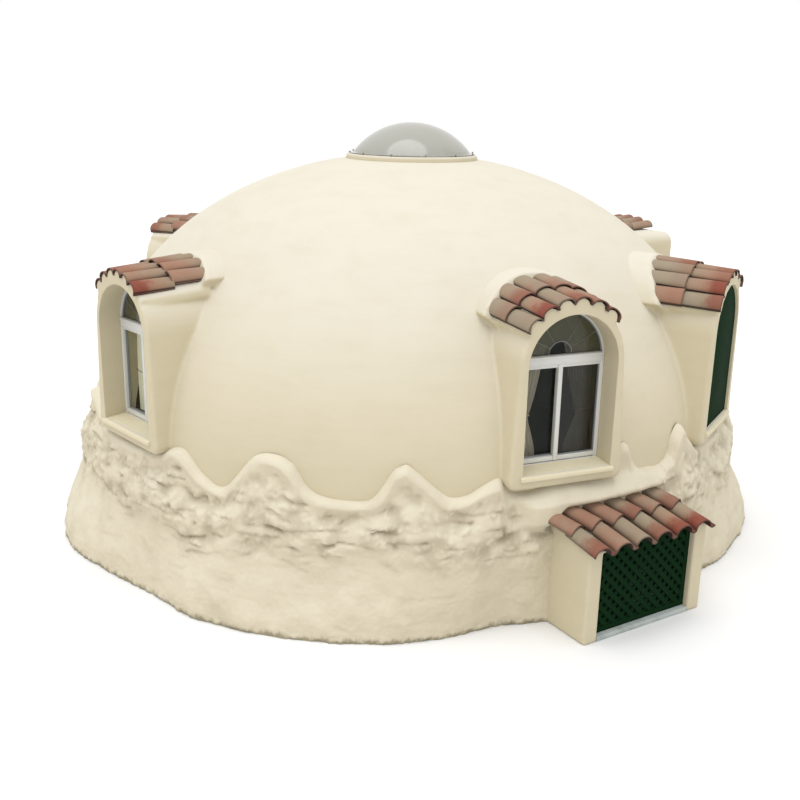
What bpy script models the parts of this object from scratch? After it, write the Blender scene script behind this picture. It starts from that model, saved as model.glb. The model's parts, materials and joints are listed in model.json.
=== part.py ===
"""Dome house.

A foam shell in ten gores carries arched hoods over its windows, barrel-tile roofs on the
hoods, a clear skylight on its crown and a rough plinth round its foot.  A small lean-to
housing stands against the wall and a plain porch holds the entrance.

Azimuths are in degrees, measured round the house from the front (the -Y side) towards +X.
A piece that belongs to an azimuth is modelled at the front, facing -Y, and turned there.
Units are metres, +Z is up, and the origin lies on the ground on the house's own axis.
"""

import math

import bmesh
import bpy
from mathutils.geometry import tessellate_polygon

# Clearance kept between touching pieces
GAP = 0.0003

# Shell
SHELL_RADIUS = 3.85
SHELL_THICKNESS = 0.20
SPRING_HEIGHT = 1.30
DOME_RISE = 3.00
DOME_POWER = 2.05
GORES = 10
GORE_ANGLE = 360.0 / GORES
GORE_FACETS = 6
FACET_ANGLE = GORE_ANGLE / GORE_FACETS
FIRST_SEAM = 5.0
DOME_LEVELS = 9
CROWN_RADIUS = 0.80

# Floor
FLOOR_TOP = 0.25

# Skylight
CURB_INNER_RADIUS = 0.62
CURB_BOTTOM = 4.05
CURB_TOP = 4.30
SKYLIGHT_SIDES = 30
SKYLIGHT_FLANGE_RADIUS = 0.79
SKYLIGHT_RADIUS = 0.71
SKYLIGHT_FLANGE_THICKNESS = 0.02
SKYLIGHT_RISE = 0.36
SKYLIGHT_THICKNESS = 0.012
SKYLIGHT_LEVELS = 5

# Window hoods
WINDOW_AZIMUTHS = {"a": -47.7, "b": 23.0, "d": -119.7, "f": 168.3}
SHUTTERED_AZIMUTHS = {"c": 60.8}
HOOD_FACE = 3.96
HOOD_BOTTOM = 1.44
HOOD_HALF_WIDTH = 0.56
HOOD_FOOT_HALF_WIDTH = 0.62
HOOD_FOOT_CORNER = 0.07
OPENING_HALF_WIDTH = 0.48
OPENING_SILL = 1.58
ARCH_SPRING = 2.62
ARCH_STEPS = 12

# Radii between which the cutters for openings and clearances run
CUTTER_FRONT = 4.85
CUTTER_REACH = 2.0

# Barrel tiles on the hoods
HOOD_TILES = 6
HOOD_TILE_HALF_ANGLE = 50.5
TILE_BED = 0.03
TILE_HEIGHT = 0.085
TILE_STEPS = 4
TILE_FULLNESS = 0.7
TILE_OVERHANG = 0.04
TILE_ROW_LENGTH = 0.40
TILE_ROW_STEP = 0.022
TILE_SLOPE = math.tan(math.radians(4.0))

# Window frame and glass
FRAME_FACE = 3.72
FRAME_DEPTH = 0.07
FRAME_BAR = 0.055
TRANSOM_BOTTOM = 2.55
TRANSOM_TOP = 2.665
MULLION_HALF_WIDTH = 0.03
GLASS_THICKNESS = 0.008

# Panel that closes the shuttered hood
PANEL_FACE = 3.93
PANEL_THICKNESS = 0.04

# Curtains
CURTAINED_WINDOWS = ("a", "b")
CURTAIN_FACE = 3.56
CURTAIN_THICKNESS = 0.05
CURTAIN_TOP = 2.74
CURTAIN_HEAD = 0.10
CURTAIN_WIDTH_TOP = 0.34
CURTAIN_WIDTH_TIE = 0.19
CURTAIN_WIDTH_FOOT = 0.31
CURTAIN_TIE_HEIGHT = 2.02
CURTAIN_SAG = 0.72

# Entrance porch
PORCH_AZIMUTH = 127.0
PORCH_FACE = 4.00
PORCH_HALF_WIDTH = 0.85
PORCH_TOP = 3.19
PORCH_CORNER = 0.14
PORCH_CORNER_STEPS = 4
DOOR_HALF_WIDTH = 0.48
DOOR_SPRING = 2.05
DOOR_FACE = 3.76
DOOR_THICKNESS = 0.05
PORCH_TILES = 5
PORCH_TILE_HALF_WIDTH = 0.44
PORCH_TILE_CROWN = 0.065

# Lean-to housing
LEANTO_AZIMUTH = 32.6
LEANTO_FACE = 4.43
LEANTO_HALF_WIDTH = 0.776
LEANTO_WALL = 0.165
LEANTO_EAVE = 0.955
LEANTO_PITCH = math.radians(9.0)
LEANTO_TILES = 6
LEANTO_TILE_HALF_WIDTH = 0.82
LEANTO_OVERHANG = 0.11
LEANTO_ROW_LENGTH = 0.395
LEANTO_DEPTH = 0.62
LEANTO_TILE_HEIGHT = 0.085
THRESHOLD_HEIGHT = 0.05
THRESHOLD_DEPTH = 0.22

# Lattice screen in the lean-to
SCREEN_SETBACK = 0.06
SCREEN_THICKNESS = 0.03
SCREEN_BORDER = 0.05
SCREEN_COLUMNS = 8
SCREEN_ROWS = 6
SCREEN_BAR = 0.03

# Rough plinth
PLINTH_COLUMN = 3.0
PLINTH_LEVELS = 6
PLINTH_FOOT_RADIUS = 4.32
PLINTH_NARROWING = 0.35
PLINTH_NARROW_AZIMUTH = 35.0
PLINTH_NARROW_PLATEAU = 25.0
PLINTH_NARROW_FADE = 25.0
PLINTH_TOP_THICKNESS = 0.06
PLINTH_BACK_RADIUS = 3.72
PLINTH_LUMP = 0.035
PLINTH_BATTER = 1.6
PLINTH_SEGMENTS = (
    ("a", 45.0, 79.5), ("b", 79.5, 116.0), ("c", 138.0, 200.0),
    ("d", 200.0, 262.0), ("e", 262.0, 322.0), ("f", 322.0, 382.0),
)
COLLAR_SPAN = (22.0, 45.0)
COLLAR_BOTTOM = 1.20
COLLAR_THICKNESS = 0.16

# Angle on each side that a hood, the porch and the lean-to take out of the plinth
HOOD_HALF_ANGLE = 10.0
PORCH_HALF_ANGLE = 13.0
LEANTO_HALF_ANGLE = 12.0
CUTTER_BELOW = -0.1

# Crest of the plinth: azimuth and height of each peak and valley
PLINTH_CREST = (
    (-180.0, 1.52), (-172.0, 1.62), (-162.0, 1.32), (-152.0, 1.66), (-143.0, 1.30),
    (-133.0, 1.56), (-119.0, 1.53), (-106.0, 1.58), (-97.0, 1.26), (-88.0, 1.64),
    (-79.0, 1.32), (-70.0, 1.64), (-61.0, 1.46), (-48.0, 1.50), (-35.0, 1.56),
    (-27.0, 1.15), (-20.0, 1.67), (-8.0, 1.30), (0.0, 1.67), (7.5, 1.36),
    (13.0, 1.57), (23.0, 1.50), (33.0, 1.70), (37.0, 1.39), (42.0, 1.54), (47.0, 1.77),
    (61.0, 1.50), (75.0, 1.82), (84.0, 1.36), (94.0, 1.62), (104.0, 1.30),
    (112.0, 1.55), (127.0, 1.50), (143.0, 1.60), (152.0, 1.36), (162.0, 1.58), (180.0, 1.52),
)

# Finishes: base colour, roughness, metallic, alpha
PLASTER = ("plaster", (0.83, 0.76, 0.62), 0.85, 0.0, 1.0)
ROCKWORK = ("rockwork", (0.80, 0.73, 0.58), 0.90, 0.0, 1.0)
TERRACOTTA = ("terracotta", (0.50, 0.27, 0.18), 0.80, 0.0, 1.0)
WHITE_ALUMINIUM = ("white_aluminium", (0.75, 0.76, 0.76), 0.35, 0.0, 1.0)
GLASS = ("glass", (0.20, 0.25, 0.25), 0.08, 0.0, 0.5)
ACRYLIC = ("clear_acrylic", (0.62, 0.66, 0.64), 0.15, 0.0, 0.5)
GREEN_PAINT = ("green_paint", (0.02, 0.07, 0.04), 0.55, 0.0, 1.0)
CONCRETE = ("concrete", (0.50, 0.51, 0.49), 0.90, 0.0, 1.0)
CURTAIN_CLOTH = ("curtain_cloth", (0.62, 0.58, 0.46), 0.90, 0.0, 1.0)


def clear_scene():
    """Remove whatever the file opened with."""
    for thing in list(bpy.data.objects):
        bpy.data.objects.remove(thing, do_unlink=True)


def material(finish):
    """Return the material of a finish, made on first use."""
    name, colour, roughness, metallic, alpha = finish
    found = bpy.data.materials.get(name)
    if found:
        return found
    made = bpy.data.materials.new(name)
    made.use_nodes = True
    shader = made.node_tree.nodes["Principled BSDF"]
    shader.inputs["Base Color"].default_value = (*colour, 1.0)
    shader.inputs["Roughness"].default_value = roughness
    shader.inputs["Metallic"].default_value = metallic
    shader.inputs["Alpha"].default_value = alpha
    return made


def add_object(name, bm, finish, azimuth=0.0):
    """Turn a closed bmesh into an object at an azimuth round the house."""
    bmesh.ops.recalc_face_normals(bm, faces=bm.faces)
    mesh = bpy.data.meshes.new(name)
    bm.to_mesh(mesh)
    bm.free()
    made = bpy.data.objects.new(name, mesh)
    made.rotation_euler = (0.0, 0.0, math.radians(azimuth))
    bpy.context.scene.collection.objects.link(made)
    made.data.materials.append(material(finish))
    return made


def add_cutter(name, bm, azimuth=0.0):
    """Add a solid that only cuts others."""
    cutter = add_object(name, bm, PLASTER, azimuth)
    cutter.hide_render = True
    cutter.display_type = "WIRE"
    return cutter


def cut(piece, cutter, solver="EXACT"):
    """Cut a piece with a cutter, which the rough plinth needs the manifold solver for."""
    modifier = piece.modifiers.new(f"cut_{cutter.name}", "BOOLEAN")
    modifier.operation = "DIFFERENCE"
    modifier.solver = solver
    modifier.object = cutter


def prism(loops, front, back):
    """Extrude an outline with holes, given as loops of (x, z), from y = front to y = back."""
    bm = bmesh.new()
    front_verts = []
    back_verts = []
    for loop in loops:
        for x, z in loop:
            front_verts.append(bm.verts.new((x, front, z)))
            back_verts.append(bm.verts.new((x, back, z)))
    triangles = tessellate_polygon([[(x, z, 0.0) for x, z in loop] for loop in loops])
    for triangle in triangles:
        bm.faces.new([front_verts[i] for i in triangle])
        bm.faces.new([back_verts[i] for i in reversed(triangle)])
    start = 0
    for loop in loops:
        count = len(loop)
        for i in range(count):
            here = start + i
            after = start + (i + 1) % count
            bm.faces.new((front_verts[here], front_verts[after], back_verts[after], back_verts[here]))
        start += count
    return bm


def stack(sections):
    """Join closed sections with equal numbers of points into one body with flat end caps."""
    bm = bmesh.new()
    rings = [[bm.verts.new(point) for point in section] for section in sections]
    count = len(rings[0])
    for lower, upper in zip(rings, rings[1:]):
        for i in range(count):
            after = (i + 1) % count
            bm.faces.new((lower[i], lower[after], upper[after], upper[i]))
    for ring in (rings[0], rings[-1]):
        flat = [[(vert.co.x, vert.co.z, 0.0) for vert in ring]]
        for triangle in tessellate_polygon(flat):
            bm.faces.new([ring[i] for i in triangle])
    return bm


def grid_body(columns):
    """Join columns, each a closed loop of points, into one body closed at both ends."""
    bm = bmesh.new()
    rings = [[bm.verts.new(point) for point in column] for column in columns]
    count = len(rings[0])
    for left, right in zip(rings, rings[1:]):
        for i in range(count):
            after = (i + 1) % count
            bm.faces.new((left[i], left[after], right[after], right[i]))
    half = count // 2
    for ring in (rings[0], rings[-1]):
        for i in range(half - 1):
            bm.faces.new((ring[i], ring[i + 1], ring[count - 2 - i], ring[count - 1 - i]))
    return bm


def turned(profile, sides, first=0.0):
    """Turn a closed profile of (radius, height) round the house's axis."""
    bm = bmesh.new()
    rings = []
    for i in range(sides):
        angle = math.radians(first) + 2.0 * math.pi * i / sides
        rings.append([bm.verts.new((r * math.sin(angle), -r * math.cos(angle), z)) for r, z in profile])
    count = len(profile)
    for i in range(sides):
        here = rings[i]
        after = rings[(i + 1) % sides]
        for j in range(count):
            k = (j + 1) % count
            bm.faces.new((here[j], after[j], after[k], here[k]))
    return bm


def dome_profile(inset=0.0, grow=0.0):
    """Points (radius, height) up the dome from its springing to the crown ring.

    Both faces of the shell use this curve, the inner one with the wall's thickness as inset.
    """
    radius = SHELL_RADIUS - inset
    rise = DOME_RISE - inset
    last = math.acos((CROWN_RADIUS / radius) ** (DOME_POWER / 2.0))
    points = []
    for i in range(DOME_LEVELS + 1):
        angle = last * i / DOME_LEVELS
        r = radius * math.cos(angle) ** (2.0 / DOME_POWER)
        z = SPRING_HEIGHT + rise * math.sin(angle) ** (2.0 / DOME_POWER)
        points.append((r + grow, z))
    return points


def point_at(radius, azimuth, z):
    """The point at a radius, azimuth and height."""
    angle = math.radians(azimuth)
    return (radius * math.sin(angle), -radius * math.cos(angle), z)


def shifted(point, neighbour, distance):
    """Move a point a small distance towards its neighbour, level with the ground."""
    dx = neighbour[0] - point[0]
    dy = neighbour[1] - point[1]
    length = math.hypot(dx, dy)
    return (point[0] + dx / length * distance, point[1] + dy / length * distance, point[2])


def gore_body(first_azimuth):
    """One gore of the shell, from the ground to the crown ring."""
    outer = [(SHELL_RADIUS, 0.0)] + dome_profile()
    inner = [(SHELL_RADIUS - SHELL_THICKNESS, 0.0)] + dome_profile(SHELL_THICKNESS)
    loop = outer + inner[::-1]
    columns = []
    for i in range(GORE_FACETS + 1):
        azimuth = first_azimuth + FACET_ANGLE * i
        columns.append([point_at(r, azimuth, z) for r, z in loop])
    start = [shifted(p, n, GAP / 2.0) for p, n in zip(columns[0], columns[1])]
    end = [shifted(p, n, GAP / 2.0) for p, n in zip(columns[-1], columns[-2])]
    return grid_body([start] + columns[1:-1] + [end])


def dome_cutter():
    """The whole shell as a solid, a clearance larger, to seat pieces against it."""
    profile = [(SHELL_RADIUS + GAP, -1.0)] + dome_profile(grow=GAP)
    bm = bmesh.new()
    rings = []
    sides = GORES * GORE_FACETS
    for r, z in profile:
        rings.append([bm.verts.new(point_at(r, FIRST_SEAM + FACET_ANGLE * i, z)) for i in range(sides)])
    for lower, upper in zip(rings, rings[1:]):
        for i in range(sides):
            after = (i + 1) % sides
            bm.faces.new((lower[i], lower[after], upper[after], upper[i]))
    bm.faces.new(rings[0][::-1])
    bm.faces.new(rings[-1])
    return add_cutter("shell_cutter", bm)


def arch(half_width, spring, steps=ARCH_STEPS):
    """Points of a round arch from its right springing over the top to the left."""
    points = []
    for i in range(steps + 1):
        angle = math.pi * i / steps
        points.append((half_width * math.cos(angle), spring + half_width * math.sin(angle)))
    return points


def arched_outline(half_width, bottom, spring):
    """An arched opening's outline."""
    return [(-half_width, bottom), (half_width, bottom)] + arch(half_width, spring)


def hood_outline(grow=0.0):
    """Outside of a hood: a round arch on sides that spread towards rounded feet."""
    foot = HOOD_FOOT_HALF_WIDTH + grow
    bottom = HOOD_BOTTOM - grow
    corner = HOOD_FOOT_CORNER
    soft = corner * (1.0 - math.sqrt(0.5))
    right = [(foot - corner, bottom), (foot - soft, bottom + soft), (foot, bottom + corner)]
    left = [(-x, z) for x, z in reversed(right)]
    return left + right + arch(HOOD_HALF_WIDTH + grow, ARCH_SPRING)


def barrel_height(fraction, height):
    """Height of a row of barrels at a place counted in tiles."""
    return height * math.sin(math.pi * (fraction % 1.0)) ** TILE_FULLNESS


def hood_tile_section(y, raised):
    """Section of a hood's tile roof: barrels side by side round the arch."""
    bed = HOOD_HALF_WIDTH + GAP
    total = HOOD_TILES * TILE_STEPS
    outer = []
    inner = []
    for i in range(total + 1):
        angle = math.radians(90.0 - HOOD_TILE_HALF_ANGLE + 2.0 * HOOD_TILE_HALF_ANGLE * i / total)
        radius = bed + TILE_BED + raised + barrel_height(i / TILE_STEPS, TILE_HEIGHT)
        outer.append((radius * math.cos(angle), y, ARCH_SPRING + radius * math.sin(angle)))
        if i % (TILE_STEPS // 2) == 0:
            clear = bed / math.cos(math.radians(HOOD_TILE_HALF_ANGLE / total * TILE_STEPS / 2.0))
            inner.append((clear * math.cos(angle), y, ARCH_SPRING + clear * math.sin(angle)))
    return outer + inner[::-1]


def hood_tile_body():
    """Two rows of tiles on a hood, the rear row lapping over the front one."""
    front = -(HOOD_FACE + TILE_OVERHANG)
    joint = front + TILE_ROW_LENGTH
    joint_rise = TILE_ROW_LENGTH * TILE_SLOPE
    rear_rise = TILE_ROW_STEP + (-CUTTER_REACH - front) * TILE_SLOPE
    return stack([
        hood_tile_section(front, 0.0),
        hood_tile_section(joint, joint_rise),
        hood_tile_section(joint + GAP, joint_rise + TILE_ROW_STEP),
        hood_tile_section(-CUTTER_REACH, rear_rise),
    ])


def frame_body():
    """Window frame: outer frame, transom and mullion in one piece."""
    half = OPENING_HALF_WIDTH - GAP
    bottom = OPENING_SILL + GAP
    outline = arched_outline(half, bottom, ARCH_SPRING)
    pane = half - FRAME_BAR
    left = [
        (-pane, bottom + FRAME_BAR), (-MULLION_HALF_WIDTH, bottom + FRAME_BAR),
        (-MULLION_HALF_WIDTH, TRANSOM_BOTTOM), (-pane, TRANSOM_BOTTOM),
    ]
    right = [(-x, z) for x, z in reversed(left)]
    start = math.asin((TRANSOM_TOP - ARCH_SPRING) / pane)
    fan = []
    for i in range(ARCH_STEPS + 1):
        angle = start + (math.pi - 2.0 * start) * i / ARCH_STEPS
        fan.append((pane * math.cos(angle), ARCH_SPRING + pane * math.sin(angle)))
    return prism([outline, left, right, fan], -FRAME_FACE, -FRAME_FACE + FRAME_DEPTH)


def glass_body():
    """One arched sheet of glass behind the frame."""
    outline = arched_outline(OPENING_HALF_WIDTH - GAP, OPENING_SILL + GAP, ARCH_SPRING)
    front = -FRAME_FACE + FRAME_DEPTH + GAP
    return prism([outline], front, front + GLASS_THICKNESS)


def curtain_body():
    """A pair of tied-back curtains joined by their heading."""
    half = OPENING_HALF_WIDTH - 2.0 * GAP
    foot = OPENING_SILL + 2.0 * GAP
    head_half = math.sqrt(half ** 2 - (CURTAIN_TOP - ARCH_SPRING) ** 2)
    below = CURTAIN_TOP - CURTAIN_HEAD
    middle = (CURTAIN_TIE_HEIGHT + below) / 2.0
    left = [
        (-head_half, CURTAIN_TOP), (-half, ARCH_SPRING), (-half, foot),
        (-half + CURTAIN_WIDTH_FOOT, foot), (-half + CURTAIN_WIDTH_TIE, CURTAIN_TIE_HEIGHT),
        (-half + CURTAIN_SAG * CURTAIN_WIDTH_TOP, middle),
        (-half + CURTAIN_WIDTH_TOP, below),
    ]
    right = [(-x, z) for x, z in reversed(left)]
    front = -CURTAIN_FACE
    return prism([left + right], front, front + CURTAIN_THICKNESS)


def porch_outline(grow=0.0):
    """Outside of the entrance porch: upright sides and a flat top with round shoulders."""
    half = PORCH_HALF_WIDTH + grow
    top = PORCH_TOP + grow
    bottom = 0.0 - grow
    right = []
    for i in range(PORCH_CORNER_STEPS + 1):
        angle = math.pi / 2.0 * i / PORCH_CORNER_STEPS
        x = half - PORCH_CORNER * (1.0 - math.cos(angle))
        z = top - PORCH_CORNER * (1.0 - math.sin(angle))
        right.append((x, z))
    left = [(-x, z) for x, z in reversed(right)]
    return [(-half, bottom), (half, bottom)] + right + left


def porch_tile_section(y):
    """Section of the short tile crest on the porch's flat top."""
    total = PORCH_TILES * TILE_STEPS
    outer = []
    for i in range(total + 1):
        share = 2.0 * i / total - 1.0
        base = PORCH_TOP + GAP + TILE_BED + PORCH_TILE_CROWN * math.cos(share * math.pi / 2.0)
        outer.append((PORCH_TILE_HALF_WIDTH * share, y, base + barrel_height(i / TILE_STEPS, TILE_HEIGHT)))
    bed = PORCH_TOP + GAP
    return outer + [(PORCH_TILE_HALF_WIDTH, y, bed), (-PORCH_TILE_HALF_WIDTH, y, bed)]


def slope_point(x, along, above):
    """Point of the lean-to's roof, by its place across, up the slope and above its bed."""
    y = along * math.cos(LEANTO_PITCH) - above * math.sin(LEANTO_PITCH)
    z = along * math.sin(LEANTO_PITCH) + above * math.cos(LEANTO_PITCH)
    return (x, y - LEANTO_FACE, LEANTO_EAVE + z)


def leanto_tile_section(along, raised):
    """Section of the lean-to's tile roof across its slope."""
    total = LEANTO_TILES * TILE_STEPS
    outer = []
    for i in range(total + 1):
        x = LEANTO_TILE_HALF_WIDTH * (2.0 * i / total - 1.0)
        above = TILE_BED + raised + barrel_height(i / TILE_STEPS, LEANTO_TILE_HEIGHT)
        outer.append(slope_point(x, along, above))
    right = slope_point(LEANTO_TILE_HALF_WIDTH, along, GAP)
    left = slope_point(-LEANTO_TILE_HALF_WIDTH, along, GAP)
    return outer + [right, left]


def leanto_tile_body():
    """Two rows of tiles on the lean-to, the rear row lapping over the front one."""
    joint = -LEANTO_OVERHANG + LEANTO_ROW_LENGTH
    return stack([
        leanto_tile_section(-LEANTO_OVERHANG, 0.0),
        leanto_tile_section(joint, 0.0),
        leanto_tile_section(joint + GAP, TILE_ROW_STEP),
        leanto_tile_section(LEANTO_DEPTH, TILE_ROW_STEP),
    ])


def leanto_wall_body(side):
    """One side wall of the lean-to, its top under the slope of the roof."""
    outer = side * LEANTO_HALF_WIDTH
    inner = side * (LEANTO_HALF_WIDTH - LEANTO_WALL)
    back = -SHELL_RADIUS + SHELL_THICKNESS
    rise = (back + LEANTO_FACE) * math.tan(LEANTO_PITCH)
    outline = [
        (-LEANTO_FACE, 0.0), (back, 0.0), (back, LEANTO_EAVE + rise), (-LEANTO_FACE, LEANTO_EAVE),
    ]
    bm = bmesh.new()
    near = [bm.verts.new((inner, y, z)) for y, z in outline]
    far = [bm.verts.new((outer, y, z)) for y, z in outline]
    for i in range(4):
        after = (i + 1) % 4
        bm.faces.new((near[i], near[after], far[after], far[i]))
    bm.faces.new(near[::-1])
    bm.faces.new(far)
    return bm


def screen_body():
    """Lattice screen: a border with crossed bars that leave diamond gaps."""
    half = LEANTO_HALF_WIDTH - LEANTO_WALL - GAP
    bottom = THRESHOLD_HEIGHT + GAP
    top = LEANTO_EAVE - 2.0 * GAP
    inner_half = half - SCREEN_BORDER
    low = bottom + SCREEN_BORDER
    high = top - SCREEN_BORDER
    pitch_x = 2.0 * inner_half / SCREEN_COLUMNS
    pitch_z = (high - low) / SCREEN_ROWS
    gap_x = (pitch_x - SCREEN_BAR * math.hypot(1.0, pitch_x / pitch_z)) / 2.0
    gap_z = gap_x * pitch_z / pitch_x
    loops = [[(-half, bottom), (half, bottom), (half, top), (-half, top)]]
    for row in range(2 * SCREEN_ROWS - 1):
        odd = row % 2
        z = low + pitch_z * (row + 1) / 2.0
        for column in range(SCREEN_COLUMNS - odd):
            x = -inner_half + pitch_x * (column + 0.5 + odd / 2.0)
            loops.append([(x - gap_x, z), (x, z + gap_z), (x + gap_x, z), (x, z - gap_z)])
    front = -LEANTO_FACE + SCREEN_SETBACK
    return prism(loops, front, front + SCREEN_THICKNESS)


def box_body(half_x, front, back, bottom, top):
    """A plain block across the front."""
    outline = [(-half_x, bottom), (half_x, bottom), (half_x, top), (-half_x, top)]
    return prism([outline], front, back)


def smooth_step(value):
    """Ease from 0 to 1."""
    value = min(max(value, 0.0), 1.0)
    return value * value * (3.0 - 2.0 * value)


def crest_height(azimuth):
    """Height of the plinth's top edge at an azimuth."""
    turned_azimuth = (azimuth + 180.0) % 360.0 - 180.0
    for (left, low), (right, high) in zip(PLINTH_CREST, PLINTH_CREST[1:]):
        if left <= turned_azimuth <= right:
            share = smooth_step((turned_azimuth - left) / (right - left))
            return low + (high - low) * share
    return PLINTH_CREST[0][1]


def foot_radius(azimuth):
    """Radius of the plinth's foot, which narrows beside the lean-to."""
    away = abs((azimuth - PLINTH_NARROW_AZIMUTH + 180.0) % 360.0 - 180.0)
    share = smooth_step((PLINTH_NARROW_PLATEAU + PLINTH_NARROW_FADE - away) / PLINTH_NARROW_FADE)
    return PLINTH_FOOT_RADIUS - PLINTH_NARROWING * share


def lump(azimuth, level):
    """Roughness of the plinth's face, a sum of waves that don't repeat."""
    turn = math.radians(azimuth)
    wave = math.sin(23.0 * turn + 2.1 * level) + math.sin(41.0 * turn - 1.7 * level + 0.6)
    return PLINTH_LUMP * 0.5 * wave * math.sin(math.pi * min(level / PLINTH_LEVELS + 0.1, 1.0))


def plinth_column(azimuth, bottom, thickness):
    """One column of the plinth: up its rough face, and down behind the shell's surface."""
    top = crest_height(azimuth)
    column = []
    for level in range(PLINTH_LEVELS + 1):
        share = level / PLINTH_LEVELS
        z = bottom + (top - bottom) * share
        reach = foot_radius(azimuth) - SHELL_RADIUS if thickness is None else thickness
        depth = PLINTH_TOP_THICKNESS + (reach - PLINTH_TOP_THICKNESS) * (1.0 - share ** PLINTH_BATTER)
        column.append(point_at(SHELL_RADIUS + depth + lump(azimuth, level), azimuth, z))
    column.append(point_at(PLINTH_BACK_RADIUS, azimuth, top))
    column.append(point_at(PLINTH_BACK_RADIUS, azimuth, bottom))
    return column


def plinth_body(first, last, bottom=0.0, thickness=None):
    """A run of the plinth between two azimuths."""
    clearance = math.degrees(GAP / 2.0 / SHELL_RADIUS)
    count = round((last - first) / PLINTH_COLUMN)
    bm = bmesh.new()
    columns = []
    for i in range(count + 1):
        azimuth = first + clearance + (last - first - 2.0 * clearance) * i / count
        columns.append([bm.verts.new(point) for point in plinth_column(azimuth, bottom, thickness)])
    size = len(columns[0])
    for left, right in zip(columns, columns[1:]):
        for i in range(size):
            after = (i + 1) % size
            bm.faces.new((left[i], left[after], right[after], right[i]))
    bm.faces.new(columns[0])
    bm.faces.new(columns[-1])
    bmesh.ops.triangulate(bm, faces=bm.faces)
    return bm


def build_shell(window_cutter, door_cutter):
    """The ten gores, each cut for the opening that falls in it."""
    openings = {**WINDOW_AZIMUTHS, **SHUTTERED_AZIMUTHS}
    for i in range(GORES):
        first = FIRST_SEAM + GORE_ANGLE * i
        gore = add_object(f"shell_gore_{i + 1:02d}", gore_body(first), PLASTER)
        for key, azimuth in openings.items():
            if 0.0 < (azimuth - first) % 360.0 < GORE_ANGLE:
                cut(gore, window_cutter[key])
        if 0.0 < (PORCH_AZIMUTH - first) % 360.0 < GORE_ANGLE:
            cut(gore, door_cutter)


def build_floor():
    """The floor slab inside the shell."""
    radius = SHELL_RADIUS - SHELL_THICKNESS - GAP
    sides = GORES * GORE_FACETS
    bm = bmesh.new()
    lower = [bm.verts.new(point_at(radius, FIRST_SEAM + FACET_ANGLE * i, 0.0)) for i in range(sides)]
    upper = [bm.verts.new(point_at(radius, FIRST_SEAM + FACET_ANGLE * i, FLOOR_TOP)) for i in range(sides)]
    for i in range(sides):
        after = (i + 1) % sides
        bm.faces.new((lower[i], lower[after], upper[after], upper[i]))
    bm.faces.new(lower[::-1])
    bm.faces.new(upper)
    add_object("floor_slab", bm, CONCRETE)


def build_skylight():
    """The curb in the shell's crown and the clear dome on it."""
    seat = CROWN_RADIUS - GAP
    curb = [
        (CURB_INNER_RADIUS, CURB_BOTTOM), (seat, CURB_BOTTOM),
        (seat, CURB_TOP), (CURB_INNER_RADIUS, CURB_TOP),
    ]
    add_object("skylight_curb", turned(curb, SKYLIGHT_SIDES, FIRST_SEAM), PLASTER)
    base = CURB_TOP + GAP
    flange_top = base + SKYLIGHT_FLANGE_THICKNESS
    ball = (SKYLIGHT_RADIUS ** 2 + SKYLIGHT_RISE ** 2) / (2.0 * SKYLIGHT_RISE)
    widest = math.asin(SKYLIGHT_RADIUS / ball)
    outside = [(SKYLIGHT_FLANGE_RADIUS, base), (SKYLIGHT_FLANGE_RADIUS, flange_top)]
    inside = []
    for i in range(SKYLIGHT_LEVELS):
        angle = widest * (1.0 - i / SKYLIGHT_LEVELS)
        height = SKYLIGHT_RISE - ball * (1.0 - math.cos(angle))
        outside.append((ball * math.sin(angle), flange_top + height))
        inside.append(((ball - SKYLIGHT_THICKNESS) * math.sin(angle), base + height))
    azimuths = [360.0 * i / SKYLIGHT_SIDES for i in range(SKYLIGHT_SIDES)]
    bm = bmesh.new()
    rings = []
    for r, z in outside:
        rings.append([bm.verts.new(point_at(r, azimuth, z)) for azimuth in azimuths])
    top = bm.verts.new((0.0, 0.0, flange_top + SKYLIGHT_RISE))
    under = []
    for r, z in inside:
        under.append([bm.verts.new(point_at(r, azimuth, z)) for azimuth in azimuths])
    ceiling = bm.verts.new((0.0, 0.0, base + SKYLIGHT_RISE))
    for i in range(SKYLIGHT_SIDES):
        after = (i + 1) % SKYLIGHT_SIDES
        for shell in (rings, under):
            for lower, upper in zip(shell, shell[1:]):
                bm.faces.new((lower[i], lower[after], upper[after], upper[i]))
        bm.faces.new((rings[-1][i], rings[-1][after], top))
        bm.faces.new((under[-1][i], under[-1][after], ceiling))
        bm.faces.new((rings[0][i], rings[0][after], under[0][after], under[0][i]))
    add_object("skylight_dome", bm, ACRYLIC)


def build_hood(key, azimuth, shell_cutter):
    """A hood and its tiles."""
    outline = hood_outline()
    hole = arched_outline(OPENING_HALF_WIDTH, OPENING_SILL, ARCH_SPRING)
    hood = add_object(f"hood_{key}", prism([outline, hole], -HOOD_FACE, -CUTTER_REACH), PLASTER, azimuth)
    cut(hood, shell_cutter)
    tiles = add_object(f"hood_tiles_{key}", hood_tile_body(), TERRACOTTA, azimuth)
    cut(tiles, shell_cutter)


def build_window(key, azimuth):
    """A window's frame, glass and curtains."""
    add_object(f"window_frame_{key}", frame_body(), WHITE_ALUMINIUM, azimuth)
    add_object(f"window_glass_{key}", glass_body(), GLASS, azimuth)
    if key in CURTAINED_WINDOWS:
        add_object(f"curtains_{key}", curtain_body(), CURTAIN_CLOTH, azimuth)


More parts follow.
